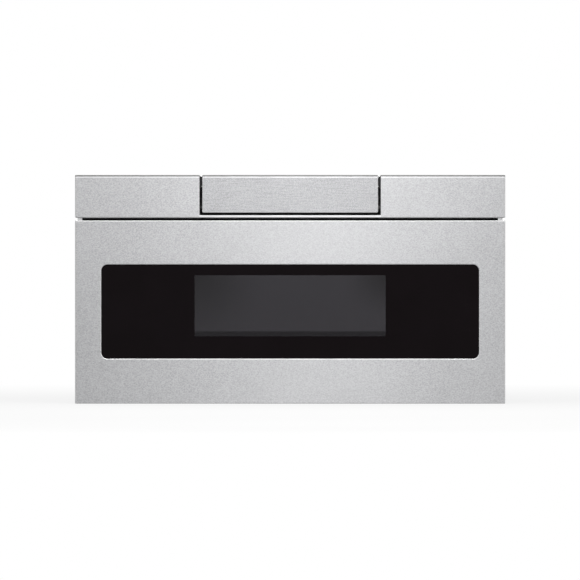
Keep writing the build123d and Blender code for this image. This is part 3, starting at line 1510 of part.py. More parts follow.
housing_side_top = case_height - housing_side_drop
housing_top = face_top - face_sheet - housing_gap

with BuildPart() as panel_housing:
    with BuildSketch(level(housing_floor_z)):
        patch(-housing_half, housing_half, housing_front_y, housing_rear_y)
    extrude(amount=housing_side_top - housing_floor_z)
    with BuildSketch(level(housing_side_top)):
        patch(-housing_half, housing_half, housing_front_y, frame_front - housing_wall)
    extrude(amount=housing_top - housing_side_top)
    plate_half = housing_half + housing_flange
    with BuildSketch(front_plane(frame_front)):
        patch(-plate_half, plate_half, notch_bottom + housing_gap, housing_top)
    extrude(amount=housing_wall)
    with BuildSketch(level(notch_bottom)):
        patch(-notch_half, notch_half, housing_front_y, frame_front - housing_wall)
    extrude(amount=fascia_height, mode=Mode.SUBTRACT)
    with BuildSketch(level(notch_bottom)):
        patch(-notch_half, notch_half, housing_front_y, housing_rear_y - housing_wall)
    extrude(amount=swing_top - notch_bottom, mode=Mode.SUBTRACT)
    with BuildSketch(side_plane(0)):
        discs(pivot_radius + pivot_play, pivot)
    extrude(amount=housing_half, both=True, mode=Mode.SUBTRACT)
    with BuildSketch(side_plane(notch_half)):
        discs(damper_module * (damper_teeth / 2 + 1) + damper_tip_gap, (damper_y, damper_z))
    extrude(amount=housing_wall, mode=Mode.SUBTRACT)
write(panel_housing, "panel_housing")

damper_centre = (damper_y, damper_z)

with BuildPart() as damper_pinion:
    damper_phase = damper_angle + pi + pi / damper_teeth
    with BuildSketch(side_plane(gear_x)):
        outline(*gear_points(damper_module, damper_teeth, damper_centre, damper_phase))
    extrude(amount=damper_gear_width)
    with BuildSketch(side_plane(gear_x + damper_gear_width)):
        discs(damper_pin_radius, damper_centre)
    extrude(amount=housing_half + damper_height - damper_lid - damper_pin_gap
            - gear_x - damper_gear_width)
write(damper_pinion, "damper_pinion")

with BuildPart() as panel_damper:
    with BuildSketch(side_plane(housing_half)):
        discs(damper_radius, damper_centre)
        with Locations(damper_centre):
            SlotOverall(4 * damper_radius, damper_radius, rotation=90)
    extrude(amount=damper_plate)
    with BuildSketch(side_plane(housing_half)):
        discs(damper_radius, damper_centre)
    extrude(amount=damper_height)
    with BuildSketch(side_plane(housing_half)):
        discs(damper_pin_radius + pivot_play, damper_centre)
    extrude(amount=damper_height - damper_lid, mode=Mode.SUBTRACT)
write(panel_damper, "panel_damper")
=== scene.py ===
from math import copysign, cos, pi, radians, sin

import bmesh
import bpy
from mathutils import Matrix, Vector


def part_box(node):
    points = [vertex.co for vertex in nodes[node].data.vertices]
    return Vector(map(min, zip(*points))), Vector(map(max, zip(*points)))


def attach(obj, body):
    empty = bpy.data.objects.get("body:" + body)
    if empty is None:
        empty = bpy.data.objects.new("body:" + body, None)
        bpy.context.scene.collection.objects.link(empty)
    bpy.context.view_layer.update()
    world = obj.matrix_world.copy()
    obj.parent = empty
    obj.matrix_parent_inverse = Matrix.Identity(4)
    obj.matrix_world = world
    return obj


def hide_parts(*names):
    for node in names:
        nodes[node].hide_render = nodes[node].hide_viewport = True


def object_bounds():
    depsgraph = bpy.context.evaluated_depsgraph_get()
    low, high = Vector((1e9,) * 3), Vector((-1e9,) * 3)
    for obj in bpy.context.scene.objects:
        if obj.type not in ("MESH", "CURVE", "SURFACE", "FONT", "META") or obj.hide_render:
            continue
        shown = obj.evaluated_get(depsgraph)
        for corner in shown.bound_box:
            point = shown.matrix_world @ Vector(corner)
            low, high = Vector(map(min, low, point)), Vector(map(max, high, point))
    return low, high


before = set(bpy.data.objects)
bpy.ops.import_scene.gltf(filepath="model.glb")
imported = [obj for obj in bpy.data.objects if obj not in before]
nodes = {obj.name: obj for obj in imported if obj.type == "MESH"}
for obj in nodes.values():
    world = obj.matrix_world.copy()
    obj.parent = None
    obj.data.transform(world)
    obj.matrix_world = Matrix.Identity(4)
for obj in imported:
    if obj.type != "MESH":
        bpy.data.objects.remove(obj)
cad_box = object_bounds()
scene = bpy.context.scene

# ------------------------------------------------------------------ studio
# The face is seen straight from the front through a long lens. The edges of the face in the
# picture give the scale and the camera's place.
picture_px = 580
face_left_px, face_right_px = 75.0, 505.3
face_top_px, face_bottom_px = 175.3, 403.4
lens, sensor = 400.0, 36.0
camera_reach = 100

face_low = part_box("door_skin")[0]
face_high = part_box("fascia")[1]
metres_per_px = (face_high.x - face_low.x) / (face_right_px - face_left_px)
shift_x_px = (picture_px - face_left_px - face_right_px) / 2
shift_z_px = (face_top_px + face_bottom_px - picture_px) / 2

scene.camera = bpy.data.objects.new("camera", bpy.data.cameras.new("camera"))
scene.camera.data.lens = lens
scene.camera.data.sensor_width = sensor
scene.camera.data.clip_end = camera_reach
scene.camera.location = (
    (face_low.x + face_high.x) / 2 + shift_x_px * metres_per_px,
    face_low.y - picture_px * metres_per_px * lens / sensor,
    (face_low.z + face_high.z) / 2 + shift_z_px * metres_per_px,
)
scene.camera.rotation_euler = (radians(90), 0, 0)
scene.collection.objects.link(scene.camera)
scene.view_settings.view_transform = "Standard"


def feed(source, socket):
    """Links another node's output to a socket, or gives the socket a plain value."""
    if hasattr(source, "is_output"):
        socket.id_data.links.new(source, socket)
    else:
        socket.default_value = source


def add_node(tree, kind, links=(), **settings):
    """A shader node with its settings, and with what feeds its sockets."""
    made = tree.nodes.new("ShaderNode" + kind)
    for key, value in settings.items():
        setattr(made, key, value)
    for key, source in links:
        feed(source, made.inputs[key])
    return made


def seen_directly(tree):
    """1 where the eye, a reflection or a clear glass looks straight at this surface."""
    path = add_node(tree, "LightPath").outputs
    total = path["Is Camera Ray"]
    for ray in ("Is Glossy Ray", "Is Transmission Ray"):
        total = add_node(tree, "Math", [(0, total), (1, path[ray])], operation="ADD",
                         use_clamp=True).outputs[0]
    return total


def shader_of(material):
    """The material's one Principled shader."""
    return material.node_tree.nodes["Principled BSDF"]


def new_finish(name, metallic=0.0, specular=0.5, **more):
    """A material with one Principled shader. What is the same all over is set on its sockets."""
    material = bpy.data.materials.new(name)
    material.use_nodes = True
    shader = shader_of(material)
    shader.inputs["Metallic"].default_value = metallic
    shader.inputs["Specular IOR Level"].default_value = specular
    for label, value in more.items():
        shader.inputs[label.replace("_", " ")].default_value = value
    return material


# The room is white to the eye and in reflections, and lights the object more softly.
ambient = 0.42
white = (1, 1, 1, 1)

scene.world = bpy.data.worlds.new("room")
scene.world.use_nodes = True
room = scene.world.node_tree
background = room.nodes["Background"].inputs
strength = add_node(room, "MapRange", [("Value", seen_directly(room)), ("To Min", ambient)])
feed(white, background["Color"])
feed(strength.outputs[0], background["Strength"])


def softbox(name, place, target, width, height, watts):
    """A rectangular lamp that looks at a point of the object, and isn't seen itself."""
    lamp = bpy.data.lights.new(name, "AREA")
    lamp.shape = "RECTANGLE"
    lamp.size, lamp.size_y = width, height
    lamp.energy = watts
    holder = bpy.data.objects.new(name, lamp)
    holder.location = place
    holder.rotation_euler = (Vector(target) - Vector(place)).to_track_quat("-Z", "Y").to_euler()
    holder.visible_camera = False
    scene.collection.objects.link(holder)


softbox("lamp_front", (0.06, -2.0, 0.60), (0.06, 0.0, 0.3), width=0.3, height=0.4, watts=4.0)
softbox("lamp_top", (0.0, -0.95, 1.05), (0.0, 0.0, 0.30), width=1.2, height=0.3, watts=8.0)
softbox("lamp_right", (1.9, -1.3, 0.9), (0.0, 0.1, 0.2), width=0.8, height=0.8, watts=8.0)
softbox("lamp_rear", (-0.6, 2.2, 1.7), (0.0, 0.3, 0.2), width=1.6, height=1.0, watts=10.0)

# The floor is a pale matt sheet. Near the object it keeps the shadow, and further off it
# fades into the white of the room. It is clear from below.
floor_size = 60.0
floor_middle = 0.2
floor_drop = 0.0004                         # from the object's lowest point to the floor
floor_near, floor_far = 0.8, 2.4
near_glow = 0.8                             # the room's white in the floor near the object
floor_grey = (0.86, 0.86, 0.86, 1)

floor_shape = bmesh.new()
floor_place = Matrix.Translation((0, floor_middle, cad_box[0].z - floor_drop))
bmesh.ops.create_grid(floor_shape, x_segments=1, y_segments=1, size=floor_size / 2,
                      matrix=floor_place)
floor_mesh = bpy.data.meshes.new("floor")
floor_shape.to_mesh(floor_mesh)
floor_shape.free()
floor = bpy.data.objects.new("floor", floor_mesh)
scene.collection.objects.link(floor)

pale_floor = new_finish("pale_floor", specular=0.1, Base_Color=floor_grey, Roughness=0.9)
floor_mesh.materials.append(pale_floor)
tree = pale_floor.node_tree
place = add_node(tree, "TexCoord").outputs["Object"]
distance = add_node(tree, "VectorMath", [(0, place)], operation="LENGTH")
fade = add_node(tree, "MapRange", [("Value", distance.outputs["Value"]), ("From Min", floor_near),
                                   ("From Max", floor_far), ("To Min", near_glow)])
glow_share = add_node(tree, "Math", [(0, fade.outputs[0]), (1, seen_directly(tree))],
                      operation="MULTIPLY")
matt = shader_of(pale_floor)
glow = add_node(tree, "Emission")
top_side = add_node(tree, "MixShader", [(0, glow_share.outputs[0]), (1, matt.outputs[0]),
                                        (2, glow.outputs[0])])
clear = add_node(tree, "BsdfTransparent")
from_below = add_node(tree, "NewGeometry").outputs["Backfacing"]
both_sides = add_node(tree, "MixShader", [(0, from_below), (1, top_side.outputs[0]),
                                          (2, clear.outputs[0])])
feed(both_sides.outputs[0], tree.nodes["Material Output"].inputs["Surface"])


# ------------------------------------------------------------------ stainless face
# The drawer front, the fixed strip and the control flap are folded from one kind of sheet:
# ferritic stainless steel, ground with a fine belt so that the grain runs from left to right
# and follows the sheet round its folds.
def new_group(name, inputs, outputs):
    """A shader group with named inputs and outputs, and a maker for the nodes inside it."""
    group = bpy.data.node_groups.new(name, "ShaderNodeTree")
    for label, kind, value in inputs:
        group.interface.new_socket(label, in_out="INPUT", socket_type=kind).default_value = value
    for label, kind in outputs:
        group.interface.new_socket(label, in_out="OUTPUT", socket_type=kind)
    group_in = group.nodes.new("NodeGroupInput")
    group_out = group.nodes.new("NodeGroupOutput")

    def node(kind, links=(), **settings):
        return add_node(group, kind, links, **settings)

    return group, group_in.outputs, group_out.inputs, node


def blended(tree, kind, factor, low, high):
    """Blends two colours or two vectors."""
    first, result = {"RGBA": (6, 2), "VECTOR": (4, 1)}[kind]
    made = add_node(tree, "Mix", data_type=kind)
    for key, source in ((0, factor), (first, low), (first + 1, high)):
        feed(source, made.inputs[key])
    return made.outputs[result]


COLOR, FLOAT, VECTOR = "NodeSocketColor", "NodeSocketFloat", "NodeSocketVector"
grey = (0.5, 0.5, 0.5, 1)
noise_low, noise_high = 0.3, 0.7            # nearly all of a noise lies between these
belt_cloud, belt_speckle = 9.0, 640.0       # the scales of the grain's clouds and specks
cloud_share = 0.12                          # of the clouds in the tone of the grain
level_normal = 0.7                          # a face whose normal is steeper lies level

# How far a face looks ahead tells where the sheet folds round an edge. How far it looks up
# tells how strong a painted highlight the fold gets, as if it caught the lamps above.
fold_starts, fold_full = 0.99, 0.90
fold_fades, fold_ends = 0.75, 0.45
fold_below, fold_above = -0.1, 0.3
below_share = 0.3                           # of the painted highlight, where a fold looks down

belt_grain, given, result, node = new_group(
    "belt_grain",
    [("Dark", COLOR, grey), ("Light", COLOR, grey), ("Along", FLOAT, 8.0),
     ("Across", FLOAT, 900.0), ("Smooth", FLOAT, 0.25), ("Rough", FLOAT, 0.4),
     ("Speckle", FLOAT, 0.0), ("Fold", COLOR, grey), ("Polish", FLOAT, 0.0)],
    [("Color", COLOR), ("Roughness", FLOAT), ("Height", FLOAT)])
place = node("TexCoord").outputs
facing = node("SeparateXYZ", [(0, place["Normal"])]).outputs
upward = node("Math", [(0, facing["Z"])], operation="ABSOLUTE")
level = node("Math", [(0, upward.outputs[0]), (1, level_normal)], operation="GREATER_THAN")
on_walls = node("CombineXYZ", [(0, given["Along"]), (1, given["Along"]), (2, given["Across"])])
on_level = node("CombineXYZ", [(0, given["Along"]), (1, given["Across"]), (2, given["Along"])])
stretch = blended(belt_grain, "VECTOR", level.outputs[0], on_walls.outputs[0], on_level.outputs[0])
drawn = node("VectorMath", [(0, place["Object"]), (1, stretch)], operation="MULTIPLY")
scratch = node("TexNoise", [("Vector", drawn.outputs[0]), ("Scale", 1.0), ("Detail", 1.0)])
cloud = node("TexNoise", [("Vector", place["Object"]), ("Scale", belt_cloud), ("Detail", 2.0)])
speckle = node("TexNoise", [("Vector", place["Object"]), ("Scale", belt_speckle), ("Detail", 1.0)])
cut = node("Mix", [(0, given["Speckle"]), (2, scratch.outputs[0]), (3, speckle.outputs[0])])
tone = node("Math", [(0, cut.outputs[0]), (1, 1 - cloud_share)], operation="MULTIPLY")
tone = node("Math", [(0, cloud.outputs[0]), (1, cloud_share), (2, tone.outputs[0])],
            operation="MULTIPLY_ADD")
spread = node("MapRange", [("Value", tone.outputs[0]), ("From Min", noise_low),
                           ("From Max", noise_high)])
ground = blended(belt_grain, "RGBA", spread.outputs[0], given["Dark"], given["Light"])
# Painted highlight: where the sheet folds round an edge, its colour moves to the Fold colour, most
# where the fold looks up.
ahead = node("Math", [(0, facing["Y"])], operation="ABSOLUTE")
turning = node("MapRange", [("Value", ahead.outputs[0]), ("From Min", fold_starts),
                            ("From Max", fold_full)])
outside = node("MapRange", [("Value", ahead.outputs[0]), ("From Min", fold_ends),
                            ("From Max", fold_fades)])
rise = node("MapRange", [("Value", facing["Z"]), ("From Min", fold_below),
                         ("From Max", fold_above), ("To Min", below_share)])
fold = node("Math", [(0, turning.outputs[0]), (1, outside.outputs[0])], operation="MULTIPLY")
bright = node("Math", [(0, rise.outputs[0]), (1, given["Polish"])], operation="MULTIPLY")
fold_highlight_share = node("Math", [(0, fold.outputs[0]), (1, bright.outputs[0])], operation="MULTIPLY")
gloss = node("MapRange", [("Value", scratch.outputs[0]), ("From Min", noise_low),
                          ("From Max", noise_high), ("To Min", given["Smooth"]),
                          ("To Max", given["Rough"])])
feed(blended(belt_grain, "RGBA", fold_highlight_share.outputs[0], ground, given["Fold"]), result["Color"])
feed(gloss.outputs[0], result["Roughness"])
feed(scratch.outputs[0], result["Height"])


def lay_effect(material, group, **values):
    """Places a shader group in a material, with this finish's own values."""
    named = [(label.replace("_", " "), value) for label, value in values.items()]
    return add_node(material.node_tree, "Group", named, node_tree=group).outputs


def surface(material, group, depth=0.0, **values):
    """Feeds a shader group's colour, roughness and relief to the material's shader."""
    shader = shader_of(material)
    effect = lay_effect(material, group, **values)
    feed(effect["Color"], shader.inputs["Base Color"])
    feed(effect["Roughness"], shader.inputs["Roughness"])
    if depth:
        relief = add_node(material.node_tree, "Bump",
                          [("Distance", depth), ("Height", effect["Height"])])
        feed(relief.outputs["Normal"], shader.inputs["Normal"])


def dress(material, *names):
    """Gives a finish to CAD pieces whose shape is already right."""
    for name in names:
        mesh = nodes[name].data
        mesh.materials.clear()
        mesh.materials.append(material)


def drawn_across(material):
    """Turns the shader's grain upright, so that light spreads across the grinding lines."""
    upright = add_node(material.node_tree, "Tangent", direction_type="RADIAL", axis="X")
    feed(upright.outputs[0], shader_of(material).inputs["Tangent"])


rounded_area, given, result, node = new_group(
    "rounded_area",
    [("Point", VECTOR, (0, 0, 0)), ("Middle", VECTOR, (0, 0, 0)), ("Half Size", VECTOR, (1, 1, 1)),
     ("Corner", FLOAT, 0.0)],
    [("Mask", FLOAT)])
offset = node("VectorMath", [(0, given["Point"]), (1, given["Middle"])], operation="SUBTRACT")
folded = node("VectorMath", [(0, offset.outputs[0])], operation="ABSOLUTE")
inner = node("VectorMath", [(0, folded.outputs[0]), (1, given["Half Size"])], operation="SUBTRACT")
rounding = node("CombineXYZ", [(axis, given["Corner"]) for axis in range(3)])
outer = node("VectorMath", [(0, inner.outputs[0]), (1, rounding.outputs[0])], operation="ADD")
beyond = node("VectorMath", [(0, outer.outputs[0]), (1, (0, 0, 0))], operation="MAXIMUM")
reach = node("VectorMath", [(0, beyond.outputs[0])], operation="LENGTH")
inside = node("Math", [(0, reach.outputs["Value"]), (1, given["Corner"])], operation="LESS_THAN")
feed(inside.outputs[0], result["Mask"])


def mask_of(material, group, **values):
    """A shader group's mask over the surface of the material's object."""
    place = add_node(material.node_tree, "TexCoord").outputs["Object"]
    return lay_effect(material, group, Point=place, **values)["Mask"]


def area_mask(material, middle, half_size, corner):
    """1 inside a rounded box of the material's object, and 0 outside it."""
    return mask_of(material, rounded_area, Middle=middle, Half_Size=half_size, Corner=corner)


def tint(material, mask, color):
    """Lays another colour over the material's own where the mask is 1."""
    base = shader_of(material).inputs["Base Color"]
    own = base.links[0].from_socket
    feed(blended(material.node_tree, "RGBA", mask, own, color), base)


dark_line, light_line = 0.0028, 0.0016      # the widths of the painted shade and painted highlight along the top edge
mask_corner = 0.0002
through = 1.0                               # half of a mask that reaches through any piece
notch_half = 0.1600
notch_low = 0.3196
face_depth = 0.005
edge_shade_paint = (0.16, 0.16, 0.16, 1)
edge_highlight_paint = (0.60, 0.60, 0.61, 1)
rail_highlight = (0.50, 0.50, 0.51, 1)
notch_shade_paint = (0.02, 0.02, 0.02, 1)
# The colour of the painted highlight on the folds.
fold_highlight_color = (0.85, 0.85, 0.85, 1)
grain_depth = 0.00002


def painted_edge_light(material, name):
    """Painted shade along the very top edge, which turns away from the lamps, and a painted
    highlight just below, where it turns to them.
    """
    low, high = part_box(name)
    for start, width, color in ((0, dark_line, edge_shade_paint), (dark_line, light_line, edge_highlight_paint)):
        middle = ((low.x + high.x) / 2, low.y, high.z - start - width / 2)
        mask = area_mask(material, middle, (high.x, face_depth, width / 2), mask_corner)
        tint(material, mask, color)


stainless = new_finish("ground_stainless", metallic=1.0, Anisotropic=0.8)
surface(stainless, belt_grain, grain_depth, Dark=(0.284, 0.285, 0.291, 1),
        Light=(0.434, 0.435, 0.443, 1), Along=420.0, Across=720.0, Smooth=0.38, Rough=0.48,
        Fold=fold_highlight_color, Polish=1.0)
drawn_across(stainless)
dress(stainless, "door_skin")

# Painted shade: the folded lips of the notch beside the flap are painted near black. Painted
# highlight: the rail under the notch is painted bright.
strip_steel = stainless.copy()
strip_steel.name = "strip_stainless"
painted_edge_light(strip_steel, "fascia")
strip_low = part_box("fascia")[0].z
for low, high, front, depth, color in ((notch_low, face_high.z, 0, through, notch_shade_paint),
                                       (strip_low, notch_low, face_low.y, face_depth, rail_highlight)):
    mask = area_mask(strip_steel, (0, front, (low + high) / 2),
                     (notch_half, depth, (high - low) / 2), mask_corner)
    tint(strip_steel, mask, color)
dress(strip_steel, "fascia")

# The flap is cut from a sheet with longer scratches, broken up by a fine speckle.
flap_steel = new_finish("flap_stainless", metallic=1.0, Anisotropic=0.8)
surface(flap_steel, belt_grain, grain_depth, Dark=(0.205, 0.206, 0.212, 1),
        Light=(0.410, 0.411, 0.419, 1), Along=40.0, Across=760.0, Smooth=0.40, Rough=0.50,
        Speckle=0.65, Fold=fold_highlight_color, Polish=1.0)
drawn_across(flap_steel)
painted_edge_light(flap_steel, "control_flap")
dress(flap_steel, "control_flap")

# ------------------------------------------------------------------ front glass
# A 4 mm toughened pane. Black enamel is printed all over its back but for the window, where
# a fine grey print of dots lets the lit bin be seen, and a darker band runs along its lower edge.
view_half_width = 0.1684
view_low, view_high = 0.1058, 0.2134
view_corner = 0.0015
band_height = 0.0088
window_cover = 0.80                         # the share of the window that the dots cover
window_print = (0.047, 0.045, 0.050, 1)
corner_shade_paint = (0.029, 0.028, 0.030, 1)
band_print = (0.021, 0.020, 0.022, 1)
left_shade, right_shade = 0.14, 0.08        # how far the painted shade reaches into the upper corners
mottle_cloud = 14.0                         # the scale of the clouds in a mottled surface
cloud_low, cloud_high = 0.35, 0.65          # the span of the clouds from one tone to the other

soft_spot, given, result, node = new_group(
    "soft_spot",
    [("Point", VECTOR, (0, 0, 0)), ("Middle", VECTOR, (0, 0, 0)), ("Reach", FLOAT, 1.0)],
    [("Mask", FLOAT)])
offset = node("VectorMath", [(0, given["Point"]), (1, given["Middle"])], operation="SUBTRACT")
reach = node("VectorMath", [(0, offset.outputs[0])], operation="LENGTH")
spot = node("MapRange", [("Value", reach.outputs["Value"]), ("From Max", given["Reach"]),
                         ("To Min", 1.0), ("To Max", 0.0)], interpolation_type="SMOOTHSTEP")
feed(spot.outputs[0], result["Mask"])

mottle, given, result, node = new_group(
    "mottle",
    [("Dark", COLOR, grey), ("Light", COLOR, grey), ("Scale", FLOAT, 100.0),
     ("Smooth", FLOAT, 0.3), ("Rough", FLOAT, 0.5)],
    [("Color", COLOR), ("Roughness", FLOAT), ("Height", FLOAT)])
place = node("TexCoord").outputs
fine = node("TexNoise", [("Vector", place["Object"]), ("Scale", given["Scale"]), ("Detail", 3.0)])
cloud = node("TexNoise", [("Vector", place["Object"]), ("Scale", mottle_cloud), ("Detail", 3.0)])
tone = node("MapRange", [("Value", cloud.outputs[0]), ("From Min", cloud_low),
                         ("From Max", cloud_high)])
gloss = node("MapRange", [("Value", cloud.outputs[0]), ("From Min", noise_low),
                          ("From Max", noise_high), ("To Min", given["Smooth"]),
                          ("To Max", given["Rough"])])
feed(blended(mottle, "RGBA", tone.outputs[0], given["Dark"], given["Light"]), result["Color"])
feed(gloss.outputs[0], result["Roughness"])
feed(fine.outputs[0], result["Height"])

view_middle = (0, 0, (view_low + view_high) / 2)
pane_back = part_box("door_glass")[1].y
front_glass = new_finish("front_glass", specular=0.06)
surface(front_glass, mottle, Dark=(0.0030, 0.0014, 0.0020, 1), Light=(0.0038, 0.0020, 0.0028, 1),
        Scale=60.0, Smooth=0.035, Rough=0.06)


def window_area(material, low, high):
    """1 in a band of the window, from one height to another."""
    return area_mask(material, (0, 0, (low + high) / 2),
                     (view_half_width, through, (high - low) / 2), view_corner)


def shared_part(material, mask, other):
    """1 only where both masks are 1."""
    return add_node(material.node_tree, "Math", [(0, mask), (1, other)],
                    operation="MULTIPLY").outputs[0]


view_mask = window_area(front_glass, view_low, view_high)
tint(front_glass, view_mask, window_print)
# Painted shade: the window's upper corners are darkened, as if the frame shaded the screen behind
# them.
for side, corner_reach in ((-1, left_shade), (1, right_shade)):
    corner = mask_of(front_glass, soft_spot, Middle=(side * view_half_width, pane_back, view_high),
                     Reach=corner_reach)
    tint(front_glass, shared_part(front_glass, view_mask, corner), corner_shade_paint)
tint(front_glass, window_area(front_glass, view_low, view_low + band_height), band_print)
cover = add_node(front_glass.node_tree, "MapRange",
                 [("Value", view_mask), ("To Min", 1.0), ("To Max", window_cover)])
feed(cover.outputs[0], shader_of(front_glass).inputs["Alpha"])
dress(front_glass, "door_glass")

# ------------------------------------------------------------------ window screen
# A 0.4 mm steel sheet with hexagonal rows of holes keeps the microwaves in. It is enamelled
# light grey and lies between the glass and the drawer front's core.
screen_pitch = 0.0034
screen_hole = 0.0012
screen_sheet = 0.0004
screen_border = 0.006
screen_gap = 0.0002                         # from the sheet to the glass
row_pitch = screen_pitch * sin(pi / 3)


def finished_piece(name, shape, material, body, smooth=None):
    """Makes an object of a bmesh, in place, and sets it on its body."""
    mesh = bpy.data.meshes.new(name)
    shape.to_mesh(mesh)
    shape.free()
    mesh.materials.append(material)
    if smooth is not None:
        mesh.shade_smooth()
        mesh.set_sharp_from_angle(angle=radians(smooth))
    piece = bpy.data.objects.new(name, mesh)
    scene.collection.objects.link(piece)
    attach(piece, body)
    return piece


def ring_edges(ring):
    """The edges between neighbours of a closed ring of vertices."""
    return {edge for vert in ring for edge in vert.link_edges if edge.other_vert(vert) in ring}


def open_edges(shape):
    """The edges of a mesh with a face on one side only."""
    return [edge for edge in shape.edges if edge.is_boundary]


def verts_of(geometry):
    """The vertices among what an operator made."""
    return [item for item in geometry if isinstance(item, bmesh.types.BMVert)]


screen = bmesh.new()
hole_walls = set()
for side in (0, 1):
    upright = Matrix.Translation((0, side * screen_sheet, 0)) @ Matrix.Rotation(pi / 2, 4, "X")
    rings = set()
    for radius in (screen_pitch / 2 / cos(pi / 6), screen_hole):
        circle = bmesh.ops.create_circle(screen, segments=6, radius=radius, matrix=upright)
        ring = ring_edges(set(circle["verts"]))
        rings |= ring
    hole_walls |= ring
    bmesh.ops.bridge_loops(screen, edges=list(rings))
bmesh.ops.bridge_loops(screen, edges=list(hole_walls))
columns = int(2 * (view_half_width + screen_border) / screen_pitch)
rows = int((view_high - view_low + 2 * screen_border) / row_pitch)
for count, step, shift in ((columns, (screen_pitch, 0), 0), (rows, (0, row_pitch), 0.5)):
    first = screen.verts[:] + screen.edges[:] + screen.faces[:]
    for turn in range(1, count):
        copied = bmesh.ops.duplicate(screen, geom=first)["geom"]
        bmesh.ops.translate(
            screen, verts=verts_of(copied),
            vec=(turn * step[0] + turn % 2 * shift * screen_pitch, 0, turn * step[1]))
bmesh.ops.remove_doubles(screen, verts=screen.verts[:], dist=screen_pitch / 100)
bmesh.ops.bridge_loops(screen, edges=open_edges(screen))
bmesh.ops.translate(screen, verts=screen.verts[:],
                    vec=(-(columns - 0.5) * screen_pitch / 2, pane_back + screen_gap,
                         view_middle[2] - (rows - 1) * row_pitch / 2))
bmesh.ops.recalc_face_normals(screen, faces=screen.faces[:])

screen_finish = new_finish("grey_screen_enamel", specular=0.3)
surface(screen_finish, mottle, Dark=(0.60, 0.60, 0.61, 1), Light=(0.68, 0.68, 0.69, 1),
        Scale=300.0, Smooth=0.45, Rough=0.6)
finished_piece("window_screen", screen, screen_finish, "drawer")

# ------------------------------------------------------------------ drawer front's core
# Two pressed steel pans, enamelled black, hold the glass and the screen and carry the bin.
# Their comb of teeth and the moulded ring over it are the microwave choke round the mouth.
black_enamel = new_finish("black_enamel")
surface(black_enamel, mottle, depth=0.00002, Dark=(0.018, 0.018, 0.019, 1),
        Light=(0.030, 0.030, 0.031, 1), Scale=420.0, Smooth=0.28, Rough=0.38)
dress(black_enamel, "choke_frame")

# The pattern of holes repeats after two rows, the second set half a step aside.
hole_rows, given, result, node = new_group(
    "hole_rows",
    [("Point", VECTOR, (0, 0, 0)), ("Pitch", FLOAT, 0.003), ("Radius", FLOAT, 0.001)],
    [("Mask", FLOAT)])
two_rows = node("Math", [(0, given["Pitch"]), (1, 2 * sin(pi / 3))], operation="MULTIPLY")
cell = node("CombineXYZ", [(0, given["Pitch"]), (1, 1.0), (2, two_rows.outputs[0])])
across = node("VectorMath", [(0, given["Point"]), (1, cell.outputs[0])], operation="DIVIDE")
away = []
for start in (0.0, 0.5):
    shifted = node("VectorMath", [(0, across.outputs[0]), (1, (start, 0, start))], operation="ADD")
    share = node("VectorMath", [(0, shifted.outputs[0])], operation="FRACTION")
    centred = node("VectorMath", [(0, share.outputs[0]), (1, (0.5, 0, 0.5))],
                   operation="SUBTRACT")
    flat = node("VectorMath", [(0, centred.outputs[0]), (1, (1, 0, 1))], operation="MULTIPLY")
    sized = node("VectorMath", [(0, flat.outputs[0]), (1, cell.outputs[0])],
                 operation="MULTIPLY")
    away.append(node("VectorMath", [(0, sized.outputs[0])], operation="LENGTH").outputs["Value"])
nearest = node("Math", [(0, away[0]), (1, away[1])], operation="MINIMUM")
hole = node("Math", [(0, nearest.outputs[0]), (1, given["Radius"])], operation="LESS_THAN")
feed(hole.outputs[0], result["Mask"])

# Behind the inner pane the pan is the second screen: grey, with the same rows of holes.
screen_grey = (0.30, 0.30, 0.305, 1)
hole_black = (0.004, 0.004, 0.004, 1)
core_enamel = black_enamel.copy()
core_enamel.name = "core_enamel"
holes = mask_of(core_enamel, hole_rows, Pitch=screen_pitch, Radius=screen_hole)
screen_area = window_area(core_enamel, view_low, view_high)
tint(core_enamel, screen_area, screen_grey)
tint(core_enamel, shared_part(core_enamel, screen_area, holes), hole_black)
dress(core_enamel, "door_core")

# Black mouldings: the ring over the choke, the fan with its shroud, the control panel with its
# housing, gear and damper, and the switches.
black_plastic = new_finish("moulded_black", specular=0.4)
surface(black_plastic, mottle, depth=0.00004, Dark=(0.016, 0.016, 0.017, 1),
        Light=(0.028, 0.028, 0.029, 1), Scale=1800.0, Smooth=0.42, Rough=0.55)
dress(black_plastic, "choke_cover", "fan_shroud", "fan_wheel", "panel_wedge", "panel_cover",
      "panel_housing", "panel_gear", "panel_damper", "damper_pinion", "interlock_switches")

clear_glass = new_finish("inner_pane", Alpha=0.35)
surface(clear_glass, mottle, Dark=(0.10, 0.105, 0.105, 1), Light=(0.14, 0.145, 0.145, 1),
        Scale=60.0, Smooth=0.03, Rough=0.06)
dress(clear_glass, "inner_window")

# ------------------------------------------------------------------ bin and tray
# The bin is moulded in grey heat-resistant plastic, and a sheet of frosted glass ceramic
# lies loose on its floor.
bin_plastic = new_finish("bin_moulding", specular=0.4)
surface(bin_plastic, mottle, depth=0.00003, Dark=(0.33, 0.335, 0.34, 1),
        Light=(0.38, 0.385, 0.39, 1), Scale=1500.0, Smooth=0.38, Rough=0.5)
dress(bin_plastic, "drawer_bin")

frosted = new_finish("glass_ceramic")
surface(frosted, mottle, depth=0.00001, Dark=(0.74, 0.76, 0.75, 1), Light=(0.77, 0.79, 0.78, 1),
        Scale=900.0, Smooth=0.16, Rough=0.26)
dress(frosted, "drawer_tray")

# ------------------------------------------------------------------ sheet steel of the case
# The case, the front frame and the brackets are hot-dip galvanised sheet, with the flat
# crystals of the zinc just visible. The slides, the arms, the shaft and the motors are zinc
# plated, and the stirrer and the microwave parts are plain aluminium.
ripple_scale, ripple_size = 60.0, 0.012     # the wandering borders of the crystals

